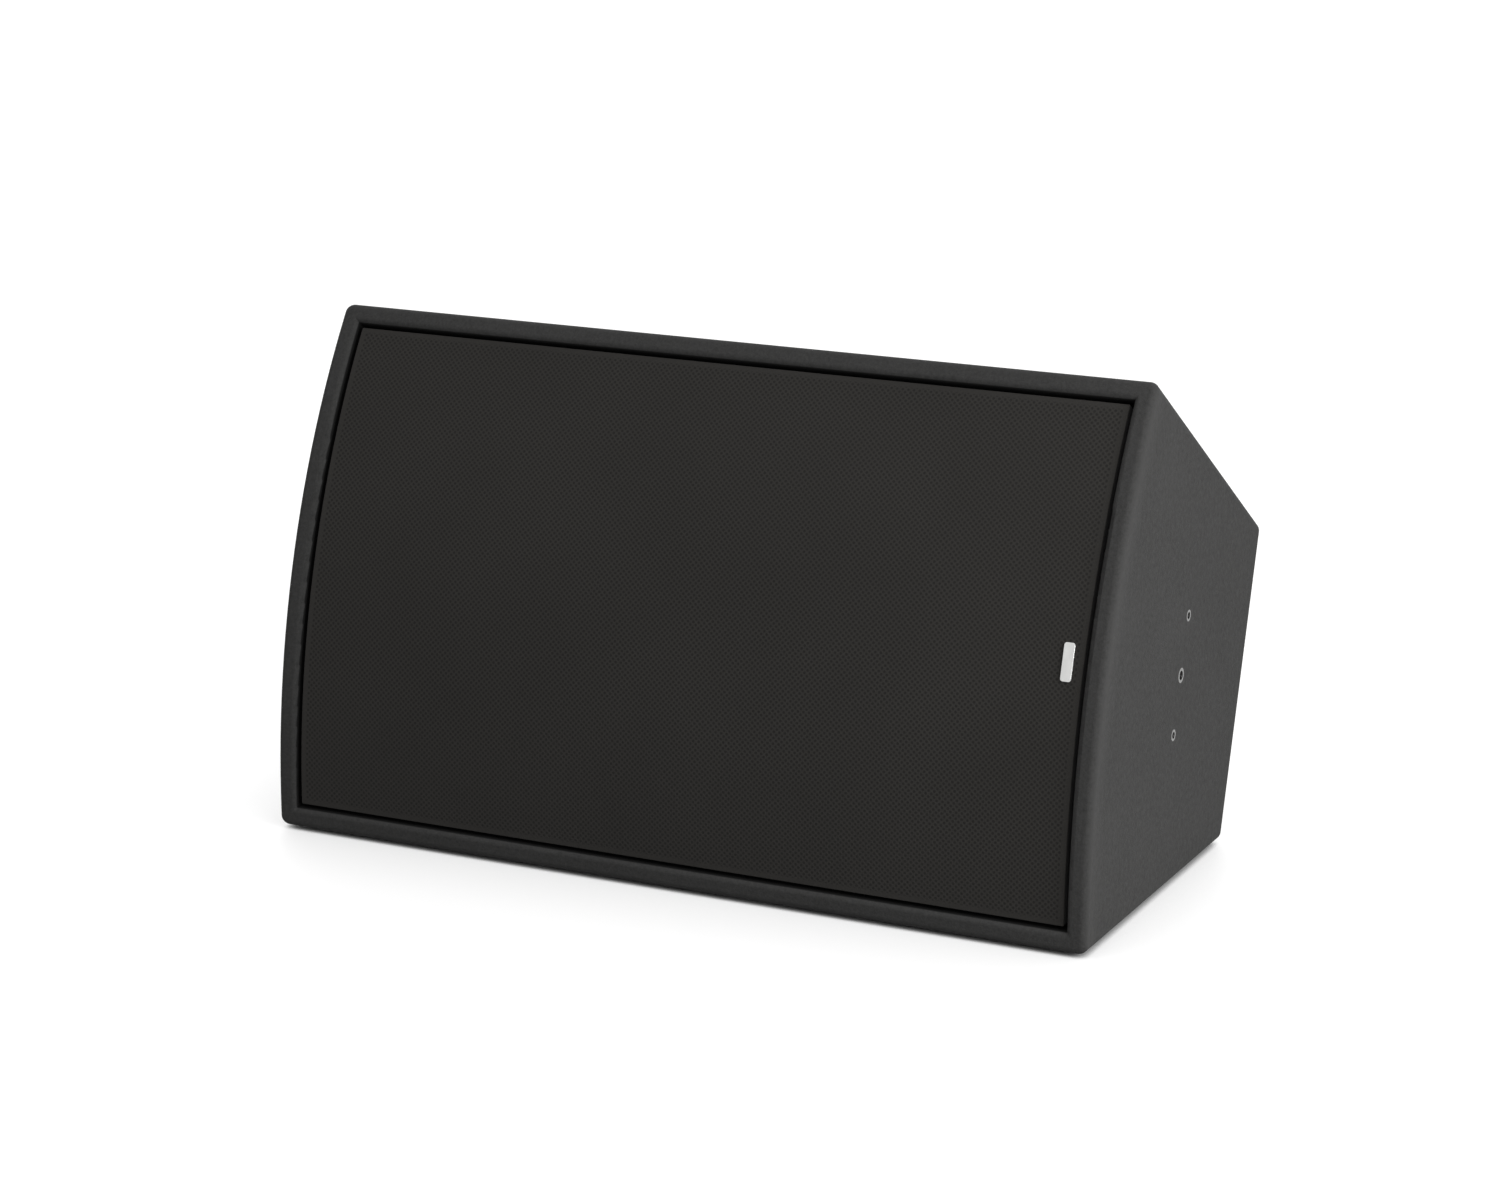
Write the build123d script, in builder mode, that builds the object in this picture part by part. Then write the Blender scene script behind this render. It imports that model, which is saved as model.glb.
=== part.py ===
from build123d import *
from math import atan, cos, radians, sin, tan
import os

# A stage monitor wedge: a two-way loudspeaker cabinet that lies on one long side, so that its
# bowed front leans back. X runs along the cabinet, Y to the rear and Z up. The origin is below
# the middle of the cabinet, on the surface that its feet stand on. All sizes are millimetres.

# ---------------------------------------------------------------- driving dimensions

# Cabinet section: a bowed front, a narrower rear and two equal sloping sides
cabinet_length = 650.0
front_width = 397.0
rear_width = 235.5
cabinet_depth = 267.5
front_bow = 32.0
panel_thickness = 15.0
front_round = 5.0
rear_round = 6.0
end_round = 7.0
lip_round = 4.0

# Plain clearances
paint_clearance = 0.05
joint_clearance = 0.2
soft_clearance = 0.3

# Feet: adhesive rubber discs
foot_radius = 12.5
foot_height = 2.8
foot_inset = 24.0

# Baffle, battens and brace
baffle_recess = 14.0
baffle_thickness = 18.0
batten_width = 20.0
brace_thickness = 12.0
brace_from_woofer = 18.5
brace_rim = 34.0
brace_corner_round = 20.0

# Threaded inserts in the end panels: one M8 between two M6, on blocks of plywood
insert_depth = 125.0
insert_pitch = 43.0
m8_insert_radius = 5.5
m8_bore_radius = 3.4
m6_insert_radius = 4.25
m6_bore_radius = 2.5
insert_length = 24.0
insert_bore_length = 20.0
insert_block_thickness = 18.0
insert_block_width = 56.0
insert_block_height = 140.0

# Grille: a perforated steel tray with cloth over it
grille_gap = 3.0
grille_recess = 4.0
cloth_thickness = 0.8
bond_line = 0.05
steel_thickness = 1.2
tab_width = 24.0
tab_length = 20.0
grille_foam_width = 8.0

# Pot magnets, let into the baffle
magnet_radius = 8.0
magnet_height = 6.0
magnet_stand = 3.0
magnet_bore_radius = 2.2
magnet_inset_up = 20.5
magnet_inset_along = 20.0
magnet_screw_head_radius = 3.6
magnet_screw_length = 14.0
magnet_screw_sink = 2.2

# Blank plate on the cloth
badge_width = 8.0
badge_height = 27.0
badge_thickness = 1.2
badge_edge_round = 0.3
badge_from_end = 14.5

# Woofer, 12 inch
woofer_side_gap = 12.5
woofer_cutout_radius = 141.5
flange_radius = 157.5
flange_thickness = 6.0
gasket_thickness = 2.0
woofer_bolt_circle_radius = 149.0
woofer_bolt_count = 8
screw_radius = 2.4
screw_head_radius = 4.8
screw_head_height = 3.0
screw_length = 26.0
through_hole_radius = 2.8
ledge_radius = 138.5
ledge_inner_radius = 134.0
ledge_height = 5.0
basket_wall = 4.0
spider_seat_depth = 55.0
spider_seat_radius = 93.0
spider_ledge_width = 9.0
basket_floor_depth = 74.0
basket_floor_thickness = 4.0
spoke_width = 24.0
window_margin = 5.5
basket_bevel = 3.0
coil_room = 2.0
top_plate_radius = 75.0
top_plate_thickness = 8.0
coil_gap_outer_radius = 39.6
pole_radius = 37.0
pole_vent_radius = 12.0
former_radius = 37.6
former_wall = 0.4
former_top_depth = 44.0
former_bottom_depth = 94.0
winding_thickness = 0.9
winding_length = 16.0
magnet_ring_radius = 84.0
magnet_ring_bore_radius = 46.0
magnet_ring_height = 20.0
back_plate_thickness = 9.0
cone_rim_radius = 124.0
cone_rim_width = 6.0
cone_thickness = 1.6
cone_curve = 6.0
dust_cap_radius = 50.0
dust_cap_rise = 15.0
dust_cap_wall = 0.8
dust_cap_stand = 10.0
surround_thickness = 0.8
surround_roll_width = 9.5
surround_overlap = 5.5
spider_thickness = 0.6
spider_wave = 2.0
spider_waves = 5
spider_collar_width = 3.0
spider_flat = 1.0

# Horn and compression driver
horn_side_gap = 14.0
horn_from_woofer = 42.5
horn_screw_rim = 13.0
horn_mouth_rim = 20.0
horn_flange_height = 156.0
horn_flange_thickness = 5.0
horn_flange_round = 8.0
horn_gasket_thickness = 1.5
horn_cutout_height = 136.0
horn_mouth_height = 122.0
horn_mouth_round = 22.0
horn_wall = 3.5
horn_length = 106.0
horn_stations = 5
horn_flare = 1.4
throat_radius = 12.7
throat_corner = 12.0
throat_flange_radius = 46.0
throat_flange_thickness = 6.0
driver_bolt_circle_radius = 36.0
driver_bolt_radius = 3.0
driver_bolt_head_radius = 5.0
driver_bolt_head_height = 4.0
driver_bolt_length = 13.0
driver_plate_radius = 48.0
driver_plate_thickness = 8.0
driver_magnet_radius = 56.0
driver_magnet_bore_radius = 32.0
driver_magnet_height = 16.0
driver_pole_radius = 21.4
driver_pole_flare = 4.0
driver_gap_outer_radius = 23.0
diaphragm_coil_radius = 21.9
diaphragm_coil_wall = 0.6
diaphragm_wall = 0.4
diaphragm_rise = 8.0
suspension_inner_rim = 30.0
suspension_rim_thickness = 1.5
cover_radius = 48.0
cover_height = 24.0
cover_wall = 4.0
cover_rim_width = 8.0
cover_bevel = 2.0
cover_screw_radius = 1.5
cover_screw_head_radius = 2.8
cover_screw_head_height = 2.0
cover_screw_length = 30.0

# Port tubes, above and below the horn
port_radius = 25.0
port_wall = 3.0
port_flare_radius = 32.0
port_flare_thickness = 3.0
port_bevel = 1.0
port_length = 70.0
port_up = 115.0
port_from_horn_end = 53.0

# Connector plate and its 4-pole sockets
plate_along = -85.0
plate_width = 160.0
plate_height = 90.0
plate_thickness = 2.0
plate_round = 8.0
plate_gasket_thickness = 1.0
plate_cutout_width = 128.0
plate_cutout_height = 60.0
plate_screw_inset = 8.0
plate_screw_radius = 1.9
plate_screw_head_radius = 3.6
plate_screw_head_height = 2.2
plate_screw_length = 15.0
socket_spacing = 46.0
socket_flange_width = 26.0
socket_flange_height = 31.0
socket_flange_thickness = 2.5
socket_flange_round = 2.5
socket_barrel_radius = 11.9
socket_well_radius = 9.9
socket_well_step = 0.3
socket_entry_depth = 9.6
socket_core_radius = 6.1
socket_core_recess = 10.0
socket_depth = 24.0
socket_floor = 3.0
socket_screw_along = 9.5
socket_screw_up = 12.0
socket_screw_radius = 1.45
socket_screw_head_radius = 2.5
socket_screw_head_height = 1.6
socket_screw_length = 7.0
socket_tab_width = 4.8
socket_tab_length = 8.0
socket_tab_thickness = 0.8

# Crossover board on the cabinet's floor
board_along = 178.0
board_from_rear = 84.0
board_length = 180.0
board_width = 100.0
board_thickness = 1.6
board_corner = 6.0
standoff_height = 8.0
standoff_radius = 4.0
board_screw_radius = 1.45
board_screw_head_radius = 2.8
board_screw_head_height = 2.0
board_screw_length = 18.0

coil_sizes = [(24.0, 10.0, 22.0), (19.0, 8.0, 18.0), (17.0, 7.0, 16.0)]
coil_places = [(26.0, 22.0), (74.0, 26.0), (114.0, 28.0)]
capacitor_sizes = [(10.0, 44.0), (8.0, 34.0), (8.0, 34.0), (6.0, 26.0)]
capacitor_places = [(28.0, -34.0), (78.0, -14.0), (78.0, -34.0), (26.0, -14.0)]
resistor_size = (10.0, 48.0, 9.0)
resistor_places = [(42.0, -14.0), (26.0, -14.0), (10.0, -14.0)]
strip_length = 60.0
strip_width = 12.0
strip_height = 12.0

# Terminal blocks on the drivers
woofer_block_reach = 16.0
woofer_block_width = 18.0
woofer_block_height = 18.0
woofer_block_drop = 2.0
woofer_block_hold = 5.0
driver_block_width = 22.0
driver_block_height = 8.0
driver_block_depth = 8.0
driver_block_up = -20.0

# Internal leads
lead_radius = 2.5
lead_bend_share = 0.45
link_board_length = 78.0
link_board_height = 24.0

# Acoustic foam
foam_thickness = 20.0
foam_margin = 22.0
top_foam_from = 110.0
rear_foam_from_plate = 12.0

# ---------------------------------------------------------------- worked out from the above

taper = atan((front_width - rear_width) / 2 / cabinet_depth)
front_radius = (front_width**2 / 4 + front_bow**2) / (2 * front_bow)
front_centre_depth = front_radius - front_bow
half_length = cabinet_length / 2
half_inside = half_length - panel_thickness
inside_length = 2 * half_inside
floor_inside = foot_height + panel_thickness

# The woofer stands at one end of the baffle, and the horn takes the rest of its length
woofer_along = woofer_side_gap + flange_radius - half_inside
woofer_end = woofer_along + flange_radius
brace_along = woofer_end + brace_from_woofer
horn_flange_width = half_inside - horn_side_gap - woofer_end - horn_from_woofer
horn_along = half_inside - horn_side_gap - horn_flange_width / 2
horn_cutout_width = horn_flange_width - 2 * horn_screw_rim
horn_mouth_width = horn_flange_width - 2 * horn_mouth_rim
port_spacing = horn_flange_width - 2 * port_from_horn_end

# The rearmost point lies on the upper rear corner's round and the foremost on the bowed front,
# both measured from the lower front corner, which fixes where that corner stands in Y.
rear_round_depth = cabinet_depth - rear_round
rear_round_up = front_width - rear_round_depth * tan(taper) - rear_round / cos(taper)
rearmost = rear_round_up * sin(taper) + rear_round_depth * cos(taper) + rear_round
foremost = front_width / 2 * sin(taper) + front_centre_depth * cos(taper) - front_radius
front_corner_y = -(rearmost + foremost) / 2

# The straight chord of the front, and a side view of the cabinet. In the side view the first
# number is the depth behind the chord and the second is the distance up from its middle.
chord_middle = Vector(
    0,
    front_corner_y + front_width / 2 * sin(taper),
    foot_height + front_width / 2 * cos(taper),
)
outward = Vector(0, -cos(taper), sin(taper))
chord = Plane(origin=chord_middle, x_dir=(1, 0, 0), z_dir=outward)
side = Plane(origin=chord_middle, x_dir=outward * -1, z_dir=(1, 0, 0))


def outer_up(depth):
    """Distance from the middle line to the outer face of the top or bottom panel."""
    return front_width / 2 - depth * tan(taper)


def inner_up(depth, gap=0.0):
    """Distance from the middle line to the inner face of those panels, less a gap."""
    return outer_up(depth) - (panel_thickness + gap) / cos(taper)


def facing_front(along, up, depth):
    """Plane that faces out of the front, at a place behind the chord."""
    middle = chord.from_local_coords((along, up, -depth))
    return Plane(origin=middle, x_dir=chord.x_dir, z_dir=chord.z_dir)


def facing_rear(along, up, height):
    """Plane that faces out of the rear, at a height above the rear face."""
    middle = chord.from_local_coords((along, up, -cabinet_depth - height))
    return Plane(origin=middle, x_dir=chord.x_dir * -1, z_dir=chord.z_dir * -1)


def half_view(along, up, depth):
    """Plane for turned parts: x is the radius and y points out of the front."""
    middle = chord.from_local_coords((along, up, -depth))
    return Plane(origin=middle, x_dir=chord.x_dir, z_dir=chord.y_dir * -1)


def outline(plane, *points):
    """Straight-sided face."""
    with BuildSketch(plane) as drawing:
        with BuildLine():
            Polyline(*points, close=True)
        make_face()
    return drawing.sketch


def discs(plane, radius, *centres):
    """Equal round faces."""
    with BuildSketch(plane) as drawing:
        with Locations(*centres):
            Circle(radius)
    return drawing.sketch


def ring(plane, outer_radius, inner_radius):
    """Flat ring."""
    with BuildSketch(plane) as drawing:
        Circle(outer_radius)
        Circle(inner_radius, mode=Mode.SUBTRACT)
    return drawing.sketch


def rounded(plane, width, height, corner):
    """Rectangle with round corners."""
    with BuildSketch(plane) as drawing:
        RectangleRounded(width, height, corner)
    return drawing.sketch


def spin_axis(plane):
    """Axis of a turned part, from its half view."""
    return Axis(plane.origin, plane.y_dir)


def circle_points(count, radius, start=0.0):
    """Points evenly round a circle."""
    step = radians(360 / count)
    first = radians(start)
    return [
        (radius * cos(first + i * step), radius * sin(first + i * step))
        for i in range(count)
    ]


def panhead(plane, head_radius, head_height, shank_radius, length, centres):
    """Screws whose heads stand on the plane."""
    with BuildPart() as screws:
        extrude(discs(plane, head_radius, *centres), amount=head_height)
        extrude(discs(plane, shank_radius, *centres), amount=-length)
    return screws


# ---------------------------------------------------------------- cabinet shell

with BuildPart() as envelope:
    with BuildSketch(side.offset(-half_length)) as section:
        with BuildLine():
            Polyline(
                (0, front_width / 2),
                (cabinet_depth, rear_width / 2),
                (cabinet_depth, -rear_width / 2),
                (0, -front_width / 2),
            )
            ThreePointArc((0, -front_width / 2), (-front_bow, 0), (0, front_width / 2))
        make_face()
        fillet(section.vertices().group_by(Axis.X)[-1], rear_round)
    extrude(amount=cabinet_length)
    end_edges = envelope.faces().filter_by(Axis.X).edges()
    bowed_edges = end_edges.sort_by(Axis(chord.origin, outward))[-2:]
    fillet([edge for edge in end_edges if edge not in bowed_edges], end_round)
    fillet(envelope.edges().sort_by(Axis(chord.origin, outward))[-4:], front_round)

inside_rear = cabinet_depth - panel_thickness
past_front = -2 * front_bow

with BuildPart() as shell:
    add(envelope.part)
    extrude(
        outline(
            side.offset(-half_inside),
            (past_front, inner_up(past_front)),
            (inside_rear, inner_up(inside_rear)),
            (inside_rear, -inner_up(inside_rear)),
            (past_front, -inner_up(past_front)),
        ),
        amount=inside_length,
        mode=Mode.SUBTRACT,
    )
    bowed_face = shell.faces().filter_by(GeomType.CYLINDER).sort_by(SortBy.RADIUS)[-1]
    fillet(bowed_face.inner_wires()[0].edges(), lip_round)

# The shell is parted where its panels meet.
left_joint = side.offset(-half_inside)
right_joint = side.offset(half_inside)
top_joint = Plane(
    origin=side.from_local_coords((0, inner_up(0), 0)),
    x_dir=side.z_dir,
    z_dir=side.x_dir * sin(taper) + side.y_dir * cos(taper),
)
bottom_joint = Plane(
    origin=side.from_local_coords((0, -inner_up(0), 0)),
    x_dir=side.z_dir,
    z_dir=side.x_dir * sin(taper) - side.y_dir * cos(taper),
)

# Inserts, seen from either end: an M8 in the middle and an M6 above and below it
m8_place = [(insert_depth, 0)]
m6_places = [(insert_depth, insert_pitch), (insert_depth, -insert_pitch)]


def end_face(direction):
    """Plane on the outside of an end panel: direction is 1 at the right and -1 at the left."""
    middle = side.from_local_coords((0, 0, direction * half_length))
    return Plane(origin=middle, x_dir=side.x_dir, z_dir=side.z_dir * direction)


def drill_inserts(direction):
    """Holes that the inserts of one end are pressed into."""
    face = end_face(direction)
    extrude(
        discs(face, m8_insert_radius, *m8_place),
        amount=-insert_length,
        mode=Mode.SUBTRACT,
    )
    extrude(
        discs(face, m6_insert_radius, *m6_places),
        amount=-insert_length,
        mode=Mode.SUBTRACT,
    )


with BuildPart() as left_end_panel:
    add(shell.part)
    split(bisect_by=left_joint, keep=Keep.BOTTOM)
    drill_inserts(-1)
with BuildPart() as right_end_panel:
    add(shell.part)
    split(bisect_by=right_joint, keep=Keep.TOP)
    drill_inserts(1)
with BuildPart() as between_ends:
    add(shell.part)
    split(bisect_by=left_joint, keep=Keep.TOP)
    split(bisect_by=right_joint, keep=Keep.BOTTOM)

with BuildPart() as top_panel:
    add(between_ends.part)
    split(bisect_by=top_joint, keep=Keep.TOP)

# Cut-out for the connector plate, and the holes for its screws
plate_edge_along = plate_width / 2 - plate_screw_inset
plate_edge_up = plate_height / 2 - plate_screw_inset
plate_screw_places = [
    (along, up)
    for along in (-plate_edge_along, 0, plate_edge_along)
    for up in (-plate_edge_up, plate_edge_up)
]
rear_face = facing_rear(plate_along, 0, 0)
with BuildPart() as rear_panel:
    add(between_ends.part)
    split(bisect_by=top_joint, keep=Keep.BOTTOM)
    split(bisect_by=bottom_joint, keep=Keep.BOTTOM)
    extrude(
        rounded(rear_face, plate_cutout_width, plate_cutout_height, plate_round),
        amount=-panel_thickness,
        mode=Mode.SUBTRACT,
    )
    extrude(
        discs(rear_face, plate_screw_radius + paint_clearance, *plate_screw_places),
        amount=-panel_thickness,
        mode=Mode.SUBTRACT,
    )

# Crossover board's place on the cabinet's floor, set out from the inside rear corner
inside_rear_corner = side.from_local_coords((inside_rear, -inner_up(inside_rear), 0))
board_y = inside_rear_corner.Y - board_from_rear
board_floor = Plane(origin=(board_along, board_y, floor_inside), x_dir=(1, 0, 0), z_dir=(0, 0, 1))
board_hole_along = board_length / 2 - board_corner
board_hole_across = board_width / 2 - board_corner
board_holes = [
    (along, across)
    for along in (-board_hole_along, board_hole_along)
    for across in (-board_hole_across, board_hole_across)
]
board_screw_depth = board_screw_length - board_thickness - standoff_height
with BuildPart() as bottom_panel:
    add(between_ends.part)
    split(bisect_by=bottom_joint, keep=Keep.TOP)
    extrude(
        discs(board_floor, board_screw_radius + paint_clearance, *board_holes),
        amount=-board_screw_depth - joint_clearance,
        mode=Mode.SUBTRACT,
    )

# ---------------------------------------------------------------- inserts and their blocks


def insert_set(radius, bore_radius, places):
    """Blind threaded barrels, flush with both end panels."""
    with BuildPart() as barrels:
        for direction in (-1, 1):
            face = end_face(direction)
            extrude(discs(face, radius, *places), amount=-insert_length)
            extrude(
                discs(face, bore_radius, *places),
                amount=-insert_bore_length,
                mode=Mode.SUBTRACT,
            )
    return barrels


m8_inserts = insert_set(m8_insert_radius, m8_bore_radius, m8_place)
m6_inserts = insert_set(m6_insert_radius, m6_bore_radius, m6_places)

with BuildPart() as insert_blocks:
    for direction in (-1, 1):
        block_face = end_face(direction).offset(-panel_thickness)
        with BuildSketch(block_face):
            with Locations((insert_depth, 0)):
                Rectangle(insert_block_width, insert_block_height)
        extrude(amount=-insert_block_thickness)
        drill_inserts(direction)

# ---------------------------------------------------------------- baffle, battens and brace

baffle_rear = baffle_recess + baffle_thickness
batten_rear = baffle_rear + batten_width
baffle_face = facing_front(0, 0, baffle_recess)

port_places = [
    (horn_along + along, up)
    for along in (-port_spacing / 2, port_spacing / 2)
    for up in (-port_up, port_up)
]
magnet_up = inner_up(baffle_recess) - magnet_inset_up
magnet_end = half_inside - magnet_inset_along
magnet_places = [
    (along, up)
    for along in (-magnet_end, brace_along, magnet_end)
    for up in (-magnet_up, magnet_up)
]
woofer_bolts = circle_points(
    woofer_bolt_count, woofer_bolt_circle_radius, 180 / woofer_bolt_count
)
woofer_bolt_places = [(woofer_along + x, y) for x, y in woofer_bolts]
horn_screw_along = (horn_flange_width + horn_cutout_width) / 4
horn_screw_up = (horn_flange_height + horn_cutout_height) / 4
horn_screws_at = [
    (along, up)
    for along in (-horn_screw_along, 0, horn_screw_along)
    for up in (-horn_screw_up, horn_screw_up)
]
horn_screw_places = [(horn_along + x, y) for x, y in horn_screws_at]

with BuildPart() as baffle:
    extrude(
        outline(
            side.offset(-half_inside),
            (baffle_recess, inner_up(baffle_recess)),
            (baffle_rear, inner_up(baffle_rear)),
            (baffle_rear, -inner_up(baffle_rear)),
            (baffle_recess, -inner_up(baffle_recess)),
        ),
        amount=inside_length,
    )
    horn_face = facing_front(horn_along, 0, baffle_recess)
    openings = [
        discs(baffle_face, woofer_cutout_radius, (woofer_along, 0)),
        discs(baffle_face, port_radius + port_wall, *port_places),
        rounded(horn_face, horn_cutout_width, horn_cutout_height, horn_flange_round),
        discs(baffle_face, screw_radius + paint_clearance, *woofer_bolt_places),
        discs(baffle_face, screw_radius + paint_clearance, *horn_screw_places),
    ]
    for opening in openings:
        extrude(opening, amount=-baffle_thickness, mode=Mode.SUBTRACT)
    extrude(
        discs(baffle_face, magnet_radius + paint_clearance, *magnet_places),
        amount=magnet_stand - magnet_height,
        mode=Mode.SUBTRACT,
    )
    extrude(
        discs(baffle_face, magnet_bore_radius - joint_clearance, *magnet_places),
        amount=-magnet_screw_length,
        mode=Mode.SUBTRACT,
    )

brace_left = brace_along - brace_thickness / 2
brace_right = brace_along + brace_thickness / 2
bays = [(-half_inside, brace_left), (brace_right, half_inside)]
batten_up = inner_up(batten_rear) - batten_width

with BuildPart() as battens:
    for start, end in bays:
        for way in (-1, 1):
            extrude(
                outline(
                    side.offset(start),
                    (baffle_rear, way * inner_up(baffle_rear)),
                    (batten_rear, way * inner_up(batten_rear)),
                    (batten_rear, way * batten_up),
                    (baffle_rear, way * batten_up),
                ),
                amount=end - start,
            )
    for start in (-half_inside, half_inside - batten_width):
        extrude(
            outline(
                side.offset(start),
                (baffle_rear, batten_up),
                (batten_rear, batten_up),
                (batten_rear, -batten_up),
                (baffle_rear, -batten_up),
            ),
            amount=batten_width,
        )

window_front = baffle_rear + brace_rim
window_rear = inside_rear - brace_rim
with BuildPart() as window_brace:
    extrude(
        outline(
            side.offset(brace_left),
            (baffle_rear, inner_up(baffle_rear)),
            (inside_rear, inner_up(inside_rear)),
            (inside_rear, -inner_up(inside_rear)),
            (baffle_rear, -inner_up(baffle_rear)),
        ),
        amount=brace_thickness,
    )
    with BuildSketch(side.offset(brace_left)) as window:
        with BuildLine():
            Polyline(
                (window_front, inner_up(window_front, brace_rim)),
                (window_rear, inner_up(window_rear, brace_rim)),
                (window_rear, -inner_up(window_rear, brace_rim)),
                (window_front, -inner_up(window_front, brace_rim)),
                close=True,
            )
        make_face()
        fillet(window.vertices(), brace_corner_round)
    extrude(amount=brace_thickness, mode=Mode.SUBTRACT)

# ---------------------------------------------------------------- grille

tray_rear = baffle_recess - magnet_stand - paint_clearance


def bowed_block(half_along, gap, radius, rear):
    """Solid with a bowed front and sides that run parallel to the cabinet's inner faces."""
    with BuildPart() as block:
        with BuildSketch(side.offset(-half_along)):
            with BuildLine():
                Polyline(
                    (past_front, inner_up(past_front, gap)),
                    (rear, inner_up(rear, gap)),
                    (rear, -inner_up(rear, gap)),
                    (past_front, -inner_up(past_front, gap)),
                    close=True,
                )
            make_face()
            with Locations((front_centre_depth, 0)):
                Circle(radius, mode=Mode.INTERSECT)
        extrude(amount=2 * half_along)
    return block.part


cloth_half = half_inside - grille_gap
cloth_radius = front_radius - grille_recess
steel_inset = cloth_thickness + bond_line
steel_half = cloth_half - steel_inset
steel_gap = grille_gap + steel_inset
steel_radius = cloth_radius - steel_inset

with BuildPart() as grille_cloth:
    add(bowed_block(cloth_half, grille_gap, cloth_radius, tray_rear))
    front_rim = grille_cloth.faces().filter_by(GeomType.CYLINDER)[0].outer_wire()
    fillet(front_rim.edges(), 2 * cloth_thickness)
    add(
        bowed_block(
            cloth_half - cloth_thickness,
            grille_gap + cloth_thickness,
            cloth_radius - cloth_thickness,
            tray_rear + cloth_thickness,
        ),
        mode=Mode.SUBTRACT,
    )

tab_front = tray_rear - steel_thickness
with BuildPart() as grille_steel:
    add(bowed_block(steel_half, steel_gap, steel_radius, tray_rear))
    add(
        bowed_block(
            steel_half - steel_thickness,
            steel_gap + steel_thickness,
            steel_radius - steel_thickness,
            tray_rear + steel_thickness,
        ),
        mode=Mode.SUBTRACT,
    )
    for along, up in magnet_places:
        way = 1 if up > 0 else -1
        tab_root = way * inner_up(tray_rear, steel_gap + steel_thickness / 2)
        tab_tip = way * (abs(up) - magnet_radius - grille_gap)
        extrude(
            outline(
                side.offset(along - tab_width / 2),
                (tab_front, tab_root),
                (tray_rear, tab_root),
                (tray_rear, tab_tip),
                (tab_front, tab_tip),
            ),
            amount=tab_width,
        )

seal_edge = grille_gap / 2
with BuildPart() as grille_seal:
    with BuildSketch(baffle_face):
        Rectangle(
            2 * (half_inside - seal_edge), 2 * (inner_up(baffle_recess) - seal_edge)
        )
        Rectangle(
            2 * (half_inside - seal_edge - grille_foam_width),
            2 * (inner_up(baffle_recess) - seal_edge - grille_foam_width),
            mode=Mode.SUBTRACT,
        )
    extrude(amount=magnet_stand - soft_clearance)

# Pot magnets, countersunk for a screw
countersink_radius = magnet_screw_head_radius + 2 * joint_clearance
countersink_depth = countersink_radius - magnet_bore_radius
magnet_bottom = magnet_stand - magnet_height
screw_top = magnet_stand - joint_clearance
magnet_screw_radius = magnet_bore_radius - 2 * joint_clearance
with BuildPart() as grille_magnets:
    for along, up in magnet_places:
        view = half_view(along, up, baffle_recess)
        revolve(
            outline(
                view,
                (magnet_bore_radius, magnet_bottom),
                (magnet_radius, magnet_bottom),
                (magnet_radius, magnet_stand),
                (countersink_radius, magnet_stand),
                (magnet_bore_radius, magnet_stand - countersink_depth),
            ),
            axis=spin_axis(view),
        )

with BuildPart() as magnet_screws:
    for along, up in magnet_places:
        view = half_view(along, up, baffle_recess)
        revolve(
            outline(
                view,
                (0, screw_top - magnet_screw_sink),
                (magnet_screw_head_radius / 3, screw_top),
                (magnet_screw_head_radius, screw_top),
                (magnet_screw_radius, screw_top - magnet_screw_head_radius + magnet_screw_radius),
                (magnet_screw_radius, screw_top - magnet_screw_length),
                (0, screw_top - magnet_screw_length),
            ),
            axis=spin_axis(view),
        )

badge_along = half_inside - badge_from_end
badge_plane = facing_front(badge_along, 0, grille_recess - front_bow - bond_line)
with BuildPart() as badge_plate:
    extrude(
        rounded(badge_plane, badge_width, badge_height, badge_width / 4),
        amount=badge_thickness,
    )
    fillet(badge_plate.faces().sort_by(Axis(chord.origin, outward))[-1].edges(), badge_edge_round)

# ---------------------------------------------------------------- woofer
# Heights are measured from the baffle's front, positive out of the cabinet.

woofer_view = half_view(woofer_along, 0, baffle_recess)
woofer_face = facing_front(woofer_along, 0, baffle_recess)
woofer_axis = spin_axis(woofer_view)
flange_top = gasket_thickness + flange_thickness
floor_bottom = -basket_floor_depth - basket_floor_thickness
former_outer_radius = former_radius + former_wall
winding_radius = former_outer_radius + winding_thickness

with BuildPart() as woofer_gasket:
    extrude(ring(woofer_face, flange_radius, woofer_cutout_radius), amount=gasket_thickness)
    extrude(
        discs(woofer_face, through_hole_radius, *woofer_bolts),
        amount=gasket_thickness,
        mode=Mode.SUBTRACT,
    )

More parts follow.
